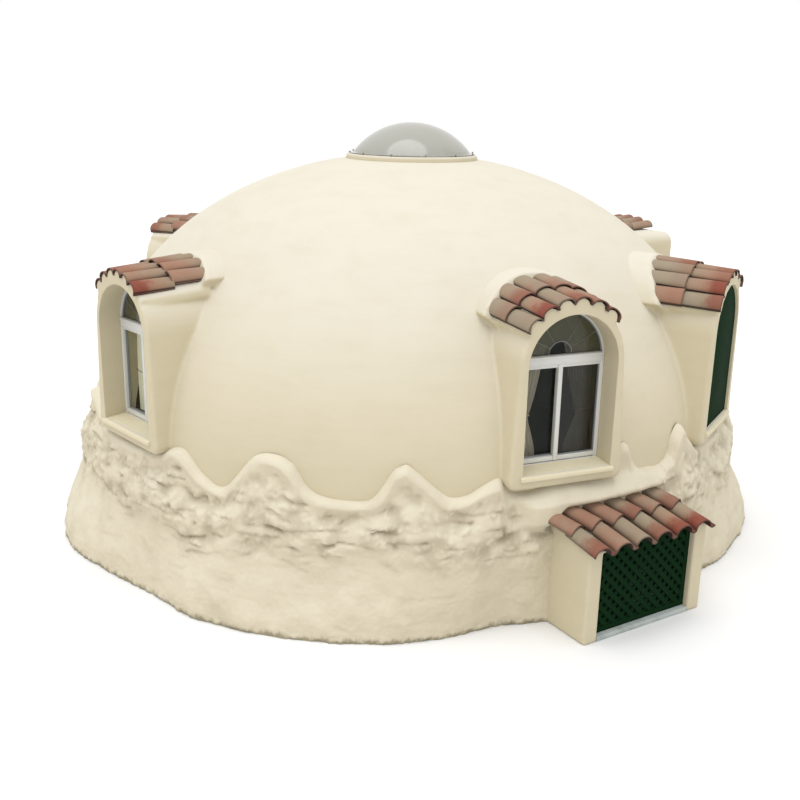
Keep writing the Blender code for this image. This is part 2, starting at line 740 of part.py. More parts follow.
def build_porch(shell_cutter):
    """The entrance porch with its door and the short tile crest over it."""
    hole = arched_outline(DOOR_HALF_WIDTH, FLOOR_TOP, DOOR_SPRING)
    porch = add_object(
        "porch", prism([porch_outline(), hole], -PORCH_FACE, -CUTTER_REACH), PLASTER, PORCH_AZIMUTH)
    cut(porch, shell_cutter)
    leaf = arched_outline(DOOR_HALF_WIDTH - GAP, FLOOR_TOP + GAP, DOOR_SPRING)
    add_object(
        "entrance_door", prism([leaf], -DOOR_FACE, -DOOR_FACE + DOOR_THICKNESS), GREEN_PAINT, PORCH_AZIMUTH)
    crest = stack([porch_tile_section(-PORCH_FACE - TILE_OVERHANG), porch_tile_section(-CUTTER_REACH)])
    tiles = add_object("porch_tiles", crest, TERRACOTTA, PORCH_AZIMUTH)
    cut(tiles, shell_cutter)


def build_leanto(shell_cutter):
    """The lean-to: side walls, threshold, lattice screen and tile roof."""
    for side, name in ((-1.0, "leanto_wall_left"), (1.0, "leanto_wall_right")):
        wall = add_object(name, leanto_wall_body(side), PLASTER, LEANTO_AZIMUTH)
        cut(wall, shell_cutter)
    half = LEANTO_HALF_WIDTH - LEANTO_WALL - GAP
    sill = box_body(half, -LEANTO_FACE, -LEANTO_FACE + THRESHOLD_DEPTH, 0.0, THRESHOLD_HEIGHT)
    add_object("leanto_threshold", sill, CONCRETE, LEANTO_AZIMUTH)
    add_object("leanto_screen", screen_body(), GREEN_PAINT, LEANTO_AZIMUTH)
    tiles = add_object("leanto_tiles", leanto_tile_body(), TERRACOTTA, LEANTO_AZIMUTH)
    cut(tiles, shell_cutter)


def build_plinth(shell_cutter, clearances):
    """The rough plinth in runs, cut clear of the hoods, the porch and the lean-to."""
    for key, first, last in PLINTH_SEGMENTS:
        run = add_object(f"plinth_{key}", plinth_body(first, last), ROCKWORK)
        cut(run, shell_cutter, "MANIFOLD")
        for azimuth, half_angle, cutter in clearances:
            near = (azimuth - first + half_angle) % 360.0 < last - first + 2.0 * half_angle
            if near:
                cut(run, cutter, "MANIFOLD")
    collar = plinth_body(COLLAR_SPAN[0], COLLAR_SPAN[1], COLLAR_BOTTOM, COLLAR_THICKNESS)
    band = add_object("leanto_collar", collar, ROCKWORK)
    cut(band, shell_cutter, "MANIFOLD")
    for azimuth, half_angle, cutter in clearances:
        near = COLLAR_SPAN[0] - half_angle < azimuth < COLLAR_SPAN[1] + half_angle
        if near and azimuth != LEANTO_AZIMUTH:
            cut(band, cutter, "MANIFOLD")


def main():
    """Build the house."""
    clear_scene()
    shell_cutter = dome_cutter()
    openings = {**WINDOW_AZIMUTHS, **SHUTTERED_AZIMUTHS}
    window_cutter = {}
    clearances = []
    for key, azimuth in openings.items():
        hole = arched_outline(OPENING_HALF_WIDTH, OPENING_SILL, ARCH_SPRING)
        bore = prism([hole], -CUTTER_FRONT, -CUTTER_REACH)
        window_cutter[key] = add_cutter(f"opening_cutter_{key}", bore, azimuth)
        outside = prism([hood_outline(GAP)], -CUTTER_FRONT, -CUTTER_REACH)
        hood_clearance = add_cutter(f"hood_clearance_{key}", outside, azimuth)
        clearances.append((azimuth, HOOD_HALF_ANGLE, hood_clearance))
    doorway = prism([arched_outline(DOOR_HALF_WIDTH, FLOOR_TOP, DOOR_SPRING)], -CUTTER_FRONT, -CUTTER_REACH)
    door_cutter = add_cutter("door_cutter", doorway, PORCH_AZIMUTH)
    porch_block = prism([porch_outline(GAP)], -CUTTER_FRONT, -CUTTER_REACH)
    porch_clearance = add_cutter("porch_clearance", porch_block, PORCH_AZIMUTH)
    clearances.append((PORCH_AZIMUTH, PORCH_HALF_ANGLE, porch_clearance))
    leanto_half = LEANTO_HALF_WIDTH + GAP
    leanto_top = COLLAR_BOTTOM - GAP
    leanto_block = box_body(leanto_half, -CUTTER_FRONT, -CUTTER_REACH, CUTTER_BELOW, leanto_top)
    leanto_clearance = add_cutter("leanto_clearance", leanto_block, LEANTO_AZIMUTH)
    clearances.append((LEANTO_AZIMUTH, LEANTO_HALF_ANGLE, leanto_clearance))
    roof_half = LEANTO_TILE_HALF_WIDTH + GAP
    roof_block = box_body(roof_half, -CUTTER_FRONT, -CUTTER_REACH, LEANTO_EAVE, leanto_top)
    roof_clearance = add_cutter("leanto_roof_clearance", roof_block, LEANTO_AZIMUTH)
    clearances.append((LEANTO_AZIMUTH, LEANTO_HALF_ANGLE, roof_clearance))

    build_shell(window_cutter, door_cutter)
    build_floor()
    build_skylight()
    for key, azimuth in openings.items():
        build_hood(key, azimuth, shell_cutter)
    for key, azimuth in WINDOW_AZIMUTHS.items():
        build_window(key, azimuth)
    for key, azimuth in SHUTTERED_AZIMUTHS.items():
        outline = arched_outline(OPENING_HALF_WIDTH - GAP, OPENING_SILL + GAP, ARCH_SPRING)
        panel = prism([outline], -PANEL_FACE, -PANEL_FACE + PANEL_THICKNESS)
        add_object(f"closing_panel_{key}", panel, GREEN_PAINT, azimuth)
    build_porch(shell_cutter)
    build_leanto(shell_cutter)
    build_plinth(shell_cutter, clearances)


if __name__ == "__main__":
    main()
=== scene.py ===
"""Dome house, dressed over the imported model.

Its plain solids give way to detailed pieces: one smooth plaster shell, hoods with soft edges,
tiles laid one by one, windows with bars and sashes, cloth curtains and worked rock. Only the floor
slab stays, and gets its finish.

Azimuths are in degrees round the house, from the front (-Y) towards +X.  A piece that belongs to
an azimuth is modelled at the front, facing -Y, and is turned there once it is done.  All sizes
are in metres.
"""
import bisect
import json
import logging
import math
import random
import sys
from contextlib import contextmanager
from dataclasses import dataclass, field
from enum import Enum
from typing import Callable, Iterator, Sequence

import bpy
from mathutils import Matrix, Vector, noise

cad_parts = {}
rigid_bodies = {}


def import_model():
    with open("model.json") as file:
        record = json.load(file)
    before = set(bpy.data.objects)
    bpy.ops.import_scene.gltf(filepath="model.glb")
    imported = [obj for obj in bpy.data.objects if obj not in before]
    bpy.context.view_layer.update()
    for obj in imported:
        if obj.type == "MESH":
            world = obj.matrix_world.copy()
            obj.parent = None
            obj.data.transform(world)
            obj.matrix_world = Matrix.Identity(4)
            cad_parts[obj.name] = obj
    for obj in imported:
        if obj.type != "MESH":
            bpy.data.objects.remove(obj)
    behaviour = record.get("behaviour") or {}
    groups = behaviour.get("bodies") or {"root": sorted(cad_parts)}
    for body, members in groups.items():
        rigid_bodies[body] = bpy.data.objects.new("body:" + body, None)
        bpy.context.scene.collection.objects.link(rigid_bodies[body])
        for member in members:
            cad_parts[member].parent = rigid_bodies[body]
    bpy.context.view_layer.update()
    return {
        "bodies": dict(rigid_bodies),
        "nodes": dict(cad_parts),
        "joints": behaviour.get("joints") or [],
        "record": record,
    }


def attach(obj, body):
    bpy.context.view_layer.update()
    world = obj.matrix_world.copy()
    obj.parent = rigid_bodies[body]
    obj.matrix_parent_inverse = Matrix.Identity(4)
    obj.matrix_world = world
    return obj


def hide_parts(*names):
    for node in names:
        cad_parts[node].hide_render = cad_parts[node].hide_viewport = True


LOG = logging.getLogger("dome_house")
BODY = "root"
Part = bpy.types.Object
Point = tuple[float, float, float]
Outline = list[tuple[float, float]]
Colour = tuple[float, float, float]
WELL_INSIDE = -2.0  # y of a place behind the shell's wall, where the cutters of openings end
OUTWARD = (math.pi / 2.0, 0.0, 0.0)  # turns a cylinder so that it points along y
BEYOND_WALL = -4.2  # y of a place before the shell's wall
MERGE = 0.00005  # vertices nearer to each other than this are one


# Modelling tools

def focus(piece: Part, *others: Part) -> None:
    """Make a piece active and select it alone, or along with others.

    Args:
        piece: The piece to make active.
        others: Further pieces to select.
    """
    if bpy.context.object is not None and bpy.context.object.mode != "OBJECT":
        bpy.ops.object.mode_set(mode="OBJECT")
    bpy.ops.object.select_all(action="DESELECT")
    for thing in (piece, *others):
        thing.select_set(True)
    bpy.context.view_layer.objects.active = piece


@contextmanager
def editing(piece: Part, kind: str = "VERT", pick: str = "SELECT") -> Iterator[None]:
    """Work on a piece in edit mode.

    Args:
        piece: The piece to edit.
        kind: What is selected in it: VERT, EDGE or FACE.
        pick: SELECT or DESELECT everything first, or nothing to keep what is selected.

    Yields:
        Nothing; the piece is in edit mode until the block ends.
    """
    focus(piece)
    bpy.ops.object.mode_set(mode="EDIT")
    bpy.ops.mesh.select_mode(type=kind)
    if pick:
        bpy.ops.mesh.select_all(action=pick)
    yield
    bpy.ops.object.mode_set(mode="OBJECT")


def modify(piece: Part, kind: str, **settings: object) -> None:
    """Add a modifier and apply it.

    Args:
        piece: The piece to change.
        kind: The modifier's type.
        settings: The modifier's own settings.
    """
    focus(piece)
    bpy.ops.object.modifier_add(type=kind)
    modifier = piece.modifiers[-1]
    for name, value in settings.items():
        setattr(modifier, name, value)
    bpy.ops.object.modifier_apply(modifier=modifier.name)


def move(piece: Part, matrix: Matrix) -> Part:
    """Move a piece by a matrix and keep its place in its mesh.

    Args:
        piece: The piece.
        matrix: Where it goes.

    Returns:
        The same piece.
    """
    focus(piece)
    piece.matrix_world = matrix
    bpy.ops.object.transform_apply(location=True, rotation=True, scale=True)
    return piece


def settle(piece: Part, azimuth: float) -> Part:
    """Turn a piece from the front to its azimuth and keep its place in its mesh."""
    return move(piece, Matrix.Rotation(math.radians(azimuth), 4, "Z") @ piece.matrix_basis)


def primitive(add: Callable, name: str, **settings: object) -> Part:
    """Add a primitive with nothing else selected and keep its place in its mesh.

    Args:
        add: The operator that adds it.
        name: The piece's name.
        settings: The operator's settings.

    Returns:
        The primitive.
    """
    bpy.ops.object.select_all(action="DESELECT")
    add(**settings)
    piece = bpy.context.object
    piece.name = name
    bpy.ops.object.transform_apply(location=True, rotation=True, scale=True)
    return piece


def extrude(step: Sequence[float]) -> None:
    """Extrude what is selected in edit mode."""
    bpy.ops.mesh.extrude_region_move(TRANSFORM_OT_translate={"value": step})


def taper(step: float, factor: float, centre: Point) -> None:
    """Extrude what is selected along y and size its far end about a centre."""
    extrude((0.0, step, 0.0))
    bpy.ops.transform.resize(value=(factor, 1.0, factor), center_override=centre)


def draw(name: str, points: Sequence[Point], closed: bool = False) -> Part:
    """Draw a line from point to point, each extruded from the one before.

    Args:
        name: The piece's name.
        points: The points along the line.
        closed: Whether to fill the line as a face.

    Returns:
        The line, or the filled face.
    """
    line = primitive(bpy.ops.mesh.primitive_plane_add, name, size=0.01, location=points[0])
    with editing(line):
        bpy.ops.mesh.merge(type="CENTER")
        for before, after in zip(points, points[1:]):
            extrude([there - here for here, there in zip(before, after)])
        if closed:
            bpy.ops.mesh.select_all(action="SELECT")
            bpy.ops.mesh.edge_face_add()
    return line


def face_out(piece: Part) -> None:
    """Merge a piece's doubles and turn its faces outwards."""
    with editing(piece):
        bpy.ops.mesh.remove_doubles(threshold=MERGE)
        bpy.ops.mesh.normals_make_consistent(inside=False)


def slab(name: str, points: Sequence[Point], step: Point) -> Part:
    """Fill an outline and extrude it by a step.

    Args:
        name: The piece's name.
        points: The outline.
        step: Where its copy goes.

    Returns:
        The slab.
    """
    piece = draw(name, points, closed=True)
    with editing(piece):
        extrude(step)
    face_out(piece)
    return piece


def prism(name: str, outline: Outline, front: float, back: float) -> Part:
    """Fill an outline of (x, z) at y = front and extrude it to y = back."""
    return slab(name, [(x, front, z) for x, z in outline], (0.0, back - front, 0.0))


def ring_prism(name: str, outline: Outline, front: float, back: float, width: float) -> Part:
    """Like prism, but hollow: a frame inside the outline.

    Args:
        name: The piece's name.
        outline: Its outside, as (x, z).
        front: Its front, in y.
        back: Its back, in y.
        width: The frame's width.

    Returns:
        The frame.
    """
    piece = draw(name, [(x, front, z) for x, z in outline], closed=True)
    with editing(piece, "FACE"):
        bpy.ops.mesh.inset(thickness=width, depth=0.0)
        bpy.ops.mesh.delete(type="FACE")
        bpy.ops.mesh.select_all(action="SELECT")
        extrude((0.0, back - front, 0.0))
    face_out(piece)
    return piece


def block(name: str, low: Point, high: Point, edge: float = 0.0) -> Part:
    """Make a block between two corners.

    Args:
        name: The piece's name.
        low: Its lowest corner.
        high: Its highest corner.
        edge: The width of its rounded edges.

    Returns:
        The block.
    """
    centre = [(a + b) / 2.0 for a, b in zip(low, high)]
    size = [b - a for a, b in zip(low, high)]
    piece = primitive(bpy.ops.mesh.primitive_cube_add, name, size=1.0, location=centre, scale=size)
    if edge:
        bevel(piece, edge, 3)
    return piece


def spin(piece: Part, steps: int) -> None:
    """Spin a line round the house's axis."""
    with editing(piece):
        bpy.ops.mesh.spin(steps=steps, angle=2.0 * math.pi, axis=(0.0, 0.0, 1.0))
    face_out(piece)


def bevel(piece: Part, width: float, segments: int = 2, angle: float = 30.0) -> None:
    """Round the edges of a piece that are sharper than an angle."""
    limit = math.radians(angle)
    modify(piece, "BEVEL", width=width, segments=segments, limit_method="ANGLE", angle_limit=limit)


def carve(piece: Part, cutter: Part, operation: str = "DIFFERENCE") -> None:
    """Cut a piece with another, which is used up."""
    modify(piece, "BOOLEAN", operation=operation, object=cutter, solver="EXACT")
    bpy.data.objects.remove(cutter, do_unlink=True)


def level_off(piece: Part) -> None:
    """Cut away what reaches below the ground in front of the house."""
    carve(piece, block("ground_cut", (-2.0, -5.0, -1.0), (2.0, -1.0, 0.0)))


def duplicate(piece: Part, name: str) -> Part:
    """Copy a piece with a mesh of its own.

    Args:
        piece: The piece.
        name: The copy's name.

    Returns:
        The copy.
    """
    twin = piece.copy()
    twin.data = piece.data.copy()
    twin.name = name
    bpy.context.scene.collection.objects.link(twin)
    return twin


def join(name: str, pieces: Sequence[Part]) -> Part:
    """Join pieces into one mesh.

    Args:
        name: The piece's name.
        pieces: What to join.

    Returns:
        The joined piece.
    """
    focus(*pieces)
    bpy.ops.object.join()
    joined = bpy.context.object
    joined.name = name
    return joined


def tube(name: str, path: Sequence[Point], radius: float) -> Part:
    """Make a round bar along a path.

    Args:
        name: The piece's name.
        path: The points along its middle.
        radius: Its radius.

    Returns:
        The bar.
    """
    line = bpy.data.curves.new(name, "CURVE")
    line.dimensions = "3D"
    line.bevel_depth = radius
    line.bevel_resolution = 3
    line.use_fill_caps = True
    spline = line.splines.new("POLY")
    spline.points.add(len(path) - 1)
    for place, point in zip(spline.points, path):
        place.co = (*point, 1.0)
    bar = bpy.data.objects.new(name, line)
    bpy.context.scene.collection.objects.link(bar)
    focus(bar)
    bpy.ops.object.convert(target="MESH")
    return bpy.context.object


def weigh(piece: Part, name: str, weight: Callable[[Vector], float]) -> None:
    """Give a piece a vertex group.

    Args:
        piece: The piece.
        name: The group's name.
        weight: Gives the weight at a vertex's place.
    """
    group = piece.vertex_groups.new(name=name)
    for vertex in piece.data.vertices:
        amount = weight(vertex.co)
        if amount > 0.0:
            group.add([vertex.index], min(amount, 1.0), "REPLACE")


def note_values(piece: Part, name: str, values: Sequence[float]) -> None:
    """Keep one number for each vertex, for a finish to read."""
    attribute = piece.data.attributes.new(name, "FLOAT", "POINT")
    attribute.data.foreach_set("value", list(values))


def smooth(piece: Part, angle: float) -> None:
    """Shade a piece smooth, apart from edges sharper than an angle."""
    focus(piece)
    bpy.ops.object.shade_smooth_by_angle(angle=math.radians(angle))


def ease(value: float) -> float:
    """Ease from 0 to 1."""
    value = min(max(value, 0.0), 1.0)
    return value * value * (3.0 - 2.0 * value)


def curve(points: Sequence[tuple[float, float]], at: float) -> float:
    """Read a smooth curve through points, kept level beyond its ends.

    Args:
        points: Points of the curve, from left to right.
        at: Where to read it.

    Returns:
        Its height there.
    """
    if not points[0][0] < at < points[-1][0]:
        return points[0][1] if at <= points[0][0] else points[-1][1]
    index = bisect.bisect_right(points, (at, math.inf)) - 1
    (left, low), (right, high) = points[index], points[index + 1]
    before, after = points[max(index - 1, 0)], points[min(index + 2, len(points) - 1)]
    wide = right - left
    share = (at - left) / wide
    leave = (high - before[1]) / (right - before[0]) * wide
    arrive = (after[1] - low) / (after[0] - left) * wide
    square, cube = share * share, share ** 3
    return (low * (2.0 * cube - 3.0 * square + 1.0) + high * (3.0 * square - 2.0 * cube)
            + leave * (cube - 2.0 * square + share) + arrive * (cube - square))


def ripple(azimuth: float, span: float, seed: float) -> float:
    """Smooth noise round the house, each swell as wide as a span of degrees."""
    return noise.noise(Vector((azimuth / span, seed, 0.0)))


def polar(radius: float, azimuth: float, z: float) -> Point:
    """The point at a radius, azimuth and height."""
    angle = math.radians(azimuth)
    return (radius * math.sin(angle), -radius * math.cos(angle), z)


def arch(half: float, spring: float, steps: int = 32) -> Outline:
    """A round arch from its right springing over the top to the left one."""
    turns = [math.pi * i / steps for i in range(steps + 1)]
    return [(half * math.cos(turn), spring + half * math.sin(turn)) for turn in turns]


# Shader maths

class Wire:
    """A number that flows out of a shader node; arithmetic on it adds Math nodes."""

    def __init__(self, shader: "Shader", socket: bpy.types.NodeSocket) -> None:
        """Wrap a socket of a shader's node."""
        self.shader = shader
        self.socket = socket

    def _math(self, operation: str, first: object, second: object) -> "Wire":
        """Add one Math node."""
        return self.shader.node("ShaderNodeMath", {0: first, 1: second}, operation=operation)

    def __add__(self, other: object) -> "Wire":
        """Sum."""
        return self._math("ADD", self, other)

    def __radd__(self, other: object) -> "Wire":
        """Sum, reflected."""
        return self._math("ADD", other, self)

    def __sub__(self, other: object) -> "Wire":
        """Difference."""
        return self._math("SUBTRACT", self, other)

    def __rsub__(self, other: object) -> "Wire":
        """Difference, reflected."""
        return self._math("SUBTRACT", other, self)

    def __mul__(self, other: object) -> "Wire":
        """Product."""
        return self._math("MULTIPLY", self, other)

    def __rmul__(self, other: object) -> "Wire":
        """Product, reflected."""
        return self._math("MULTIPLY", other, self)


class Shader:
    """One material, built round its Principled shader."""

    def __init__(self, name: str) -> None:
        """Start a material of that name.

        Args:
            name: The material's name.
        """
        self.material = bpy.data.materials.new(name)
        self.material.use_nodes = True
        self.tree = self.material.node_tree
        self.surface = self.tree.nodes["Principled BSDF"]
        self.place = self.node("ShaderNodeTexCoord", output="Object")

    def node(
        self, kind: str, sockets: dict | None = None, output: int | str = 0, **settings: object
    ) -> Wire:
        """Add a node.

        Args:
            kind: The node's type.
            sockets: Values or wires for its inputs, by name or number.
            output: The output that the wire comes from.
            settings: The node's own settings, which are set first.

        Returns:
            A wire from the output.
        """
        made = self.tree.nodes.new(kind)
        for name, value in settings.items():
            setattr(made, name, value)
        for key, value in (sockets or {}).items():
            if isinstance(value, Wire):
                self.tree.links.new(value.socket, made.inputs[key])
            else:
                made.inputs[key].default_value = value
        return Wire(self, made.outputs[output])

    def feed(self, **inputs: object) -> None:
        """Set or link the Principled shader's inputs, named with underscores for spaces.

        Args:
            inputs: A value or a wire for each input.
        """
        for name, value in inputs.items():
            socket = self.surface.inputs[name.replace("_", " ")]
            if isinstance(value, Wire):
                self.tree.links.new(value.socket, socket)
            else:
                socket.default_value = (*value, 1.0) if isinstance(value, tuple) else value

    def noise(
        self, scale: float, detail: float = 3.0, rough: float = 0.5, stretch: Point = (1.0, 1.0, 1.0)
    ) -> Wire:
        """Soft noise on the object's own coordinates."""
        place = self.node("ShaderNodeMapping", {"Vector": self.place, "Scale": stretch})
        sockets = {"Vector": place, "Scale": scale, "Detail": detail, "Roughness": rough}
        return self.node("ShaderNodeTexNoise", sockets)

    def ramp(self, value: Wire, low: float, high: float) -> Wire:
        """Ease a value from 0 at low to 1 at high."""
        limits = {0: value, 1: low, 2: high}
        return self.node("ShaderNodeMapRange", limits, interpolation_type="SMOOTHSTEP")

    def blend(self, factor: object, first: object, second: object) -> Wire:
        """Mix two colours."""
        colours = [(*c, 1.0) if isinstance(c, tuple) else c for c in (first, second)]
        sockets = {0: factor, 6: colours[0], 7: colours[1]}
        return self.node("ShaderNodeMix", sockets, output=2, data_type="RGBA")

    def stored(self, name: str) -> Wire:
        """A number kept on the mesh."""
        return self.node("ShaderNodeAttribute", output="Fac", attribute_name=name)

    def facing(self, low: float, high: float) -> Wire:
        """Ease from 0 to 1 by the upright part of the surface's normal."""
        normal = self.node("ShaderNodeNewGeometry", output="Normal")
        return self.ramp(self.node("ShaderNodeSeparateXYZ", {0: normal}, output="Z"), low, high)

    def upward(self) -> Wire:
        """How far the surface faces up: 0 for a wall and below, 1 for a roof."""
        return self.facing(0.0, 0.85)

    def height(self) -> Wire:
        """Height above the ground."""
        return self.node("ShaderNodeSeparateXYZ", {0: self.place}, output="Z")

    def bump(self, height: Wire, strength: float, distance: float) -> None:
        """Raise the surface by a height."""
        sockets = {"Strength": strength, "Distance": distance, "Height": height}
        self.feed(Normal=self.node("ShaderNodeBump", sockets))


# Finishes

class Slot(Enum):
    """The record's material slots."""

    PLASTER = "plaster"
    ROCKWORK = "rockwork"
    TERRACOTTA = "terracotta"
    ALUMINIUM = "white_aluminium"
    GLASS = "window_glass"
    ACRYLIC = "clear_acrylic"
    GREEN = "green_paint"
    CONCRETE = "concrete"
    CLOTH = "curtain_cloth"


@dataclass(frozen=True)
class Finish:
    """A finish: a material made once and worn by many pieces."""

    name: str
    slot: Slot
    colour: Colour

    def dress(self, shader: Shader) -> None:
        """Build the material's nodes."""
        shader.feed(Base_Color=self.colour)

    def material(self) -> bpy.types.Material:
        """The material, made on first use.

        Returns:
            The material.
        """
        found = bpy.data.materials.get(self.name)
        if found is None:
            shader = Shader(self.name)
            self.dress(shader)
            found = shader.material
        return found

    def put_on(
        self, piece: Part, azimuth: float = 0.0, angle: float = 0.0, nodes: Sequence[str] = ()
    ) -> None:
        """Turn a new piece to its place, dress it and let it ride with the house.

        Args:
            piece: The piece, modelled at the front.
            azimuth: Where it stands round the house.
            angle: Edges sharper than this stay sharp; 0 leaves the shading as it is.
            nodes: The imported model's nodes that it replaces.
        """
        settle(piece, azimuth)
        if angle:
            smooth(piece, angle)
        piece.data.materials.clear()
        piece.data.materials.append(self.material())
        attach(piece, BODY)
        if nodes:
            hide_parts(*nodes)
        LOG.info("%s: %d faces", piece.name, len(piece.data.polygons))


@dataclass(frozen=True)
class Plaster(Finish):
    """Trowelled plaster under cream paint."""

    shade: Colour = (0.46, 0.395, 0.26)
    # Colour of the painted highlight on faces that turn up.
    painted_top_highlight: Colour = (0.600, 0.562, 0.470)

    def dress(self, shader: Shader) -> None:
        """Paler on faces that turn up, a painted highlight as if lit from above; broad patches, level
        strokes and a fine grain.

        Args:
            shader: The material's shader.
        """
        patches = shader.ramp(shader.noise(0.7, 4.0, 0.6), 0.42, 0.72)
        strokes = shader.noise(1.6, 5.0, 0.65, (1.0, 1.0, 5.0))
        runs = shader.ramp(shader.noise(3.0, 3.0, 0.5, (1.0, 1.0, 0.12)), 0.55, 0.80)
        clouds = shader.ramp(shader.noise(4.5, 4.0, 0.6), 0.45, 0.75)
        tone = patches * 0.12 + shader.ramp(strokes, 0.40, 0.75) * 0.12 + runs * 0.07 + clouds * 0.07
        # Faces that turn up take the paler colour: painted highlight.
        paint = shader.blend(shader.upward(), self.colour, self.painted_top_highlight)
        shader.feed(Base_Color=shader.blend(tone, paint, self.shade), Roughness=0.85)
        grain = shader.noise(95.0, 4.0, 0.6) * 0.35 + strokes * 0.9 + shader.noise(17.0, 3.0) * 0.5
        shader.bump(grain, 0.22, 0.012)


@dataclass(frozen=True)
class Rockwork(Finish):
    """Rough mortar worked into rock, with painted shade in its hollows and under its ledges, and soiled at
    its foot.
    """

    # Colour of the painted shade in hollows and under ledges.
    hollow: Colour = (0.30, 0.25, 0.16)
    soil: Colour = (0.21, 0.18, 0.105)
    painted_top_highlight: Colour = (0.605, 0.556, 0.440)

    def dress(self, shader: Shader) -> None:
        """Painted shade in the hollows noted on the mesh, a painted highlight on faces that turn up, a
        pitted grain and a dark line at the ground.

        Args:
            shader: The material's shader.
        """
        # The stored hollow value is painted shade: dark in pits and under ledges, light on knobs; pits and
        # wear add a random darker tone.
        depth = shader.stored("hollow")
        pits = shader.noise(24.0, 5.0, 0.65)
        worn = shader.noise(2.2, 4.0, 0.6)
        hollow_shade_and_wear = depth * 0.75 + shader.ramp(pits, 0.55, 0.8) * 0.08 + shader.ramp(worn, 0.45, 0.75) * 0.12
        # Faces that turn up take the paler colour: painted highlight.
        paint = shader.blend(shader.upward(), self.colour, self.painted_top_highlight)
        painted = shader.blend(hollow_shade_and_wear, paint, self.hollow)
        ragged = shader.noise(9.0, 4.0, 0.7, (1.0, 1.0, 0.4))
        foot = 1.0 - shader.ramp(shader.height() + ragged * 0.20, 0.100, 0.160)
        shader.feed(Base_Color=shader.blend(foot * 0.8, painted, self.soil), Roughness=0.9)
        shader.bump(pits * 0.7 + shader.noise(70.0, 4.0, 0.7) * 0.3, 0.4, 0.02)


@dataclass(frozen=True)
class Clay(Finish):
    """Weathered fired clay: grey bodies, red ends, darker low between the barrels; painted shade underneath.
    """

    grey: Colour = (0.265, 0.215, 0.147)
    red: Colour = (0.195, 0.046, 0.024)
    dark: Colour = (0.060, 0.026, 0.018)

    def dress(self, shader: Shader) -> None:
        """Colour by each tile's own tone, the way along it and the height on it.

        Args:
            shader: The material's shader.
        """
        tone = shader.stored("tone")
        heat = shader.stored("fired")
        along = shader.stored("along")
        low = 1.0 - shader.ramp(shader.stored("crest"), 0.0, 0.55)
        cloud = shader.noise(9.0, 5.0, 0.62)
        drift = cloud - 0.5
        body = shader.blend(shader.ramp(tone + drift * 1.6, 0.1, 0.9), self.grey, self.colour)
        rear = shader.ramp(along + drift * 0.8, 0.40, 1.0)
        body = shader.blend(rear * 0.6, body, self.grey)
        front = 1.0 - shader.ramp(along + drift * 0.6, 0.18, 0.58)
        fired = shader.blend(front * heat, body, self.red)
        spots = shader.ramp(shader.noise(42.0, 4.0, 0.7), 0.60, 0.78)
        # Random weather spots, and a darker colour low down on each barrel.
        worn = shader.blend(spots * 0.35 + low * 0.55, fired, self.dark)
        # A darker rim at each tile's front end: partly the dark joint, partly painted shade under the lip.
        lip = 1.0 - shader.ramp(along, 0.010, 0.035)
        edged = shader.blend(lip * 0.55, worn, self.dark)
        # Faces that turn down are darkened almost to black: painted shade.
        underside_shade = tuple(0.25 * c for c in self.dark)
        underside = 1.0 - shader.facing(-0.35, -0.05)
        shader.feed(Base_Color=shader.blend(underside * 0.85, edged, underside_shade), Roughness=0.84)
        shader.bump(cloud * 0.6 + shader.noise(120.0, 3.0) * 0.4, 0.35, 0.008)


@dataclass(frozen=True)
class Paint(Finish):
    """Paint on metal or board, a little uneven."""

    roughness: float = 0.4
    worn: Colour = (0.6, 0.6, 0.6)
    grime: float = 0.15
    shine: float = 0.5

    def dress(self, shader: Shader) -> None:
        """Faint runs of dirt and an even sheen.

        Args:
            shader: The material's shader.
        """
        runs = shader.ramp(shader.noise(6.0, 5.0, 0.6, (1.0, 1.0, 0.35)), 0.45, 0.8)
        shader.feed(Base_Color=shader.blend(runs * self.grime, self.colour, self.worn))
        rough = self.roughness + shader.noise(14.0, 3.0) * 0.15
        shader.feed(Roughness=rough, Specular_IOR_Level=self.shine)
        shader.bump(shader.noise(40.0, 3.0), 0.05, 0.003)


@dataclass(frozen=True)
class Pane(Finish):
    """Glass or clear acrylic as a thin sheet."""

    alpha: float = 0.3
    roughness: float = 0.04
    haze: float = 0.0
    clear_rim: float = 0.0

    def dress(self, shader: Shader) -> None:
        """Clear, hazier where dust has settled; a dome is clearest at its rim, with patches of painted dark
        reflection there.

        Args:
            shader: The material's shader.
        """
        dust = shader.ramp(shader.noise(2.5, 5.0, 0.6), 0.4, 0.75)
        steep = 1.0 - shader.upward()
        # Patches on a dome's steep rim: painted reflection, darker and less clear; between them the sheet is
        # clearer.
        dark_reflection = shader.ramp(shader.noise(3.2, 2.0, 0.5, (1.0, 1.0, 2.5)), 0.50, 0.66)
        deep = tuple(0.45 * c for c in self.colour)
        paint = shader.blend(dark_reflection * steep, self.colour, deep) if self.clear_rim else self.colour
        shader.feed(Base_Color=paint, Roughness=self.roughness)
        shader.feed(Alpha=self.alpha + dust * self.haze - steep * (1.0 - dark_reflection) * self.clear_rim)
        shader.bump(shader.noise(3.0, 2.0), 0.05, 0.01)


@dataclass(frozen=True)
class Dapple(Finish):
    """A near-black board standing for the shade behind a lattice (painted shade), with pale spots of painted
    light where light falls on it.
    """

    spot: Colour = (0.16, 0.20, 0.17)

    def dress(self, shader: Shader) -> None:
        """Spots as far as the mesh's own light reaches."""
        spots = shader.ramp(shader.noise(26.0, 3.0, 0.6), 0.52, 0.60)
        paint = shader.blend(spots * shader.stored("light"), self.colour, self.spot)
        shader.feed(Base_Color=paint, Roughness=0.9, Specular_IOR_Level=0.05)


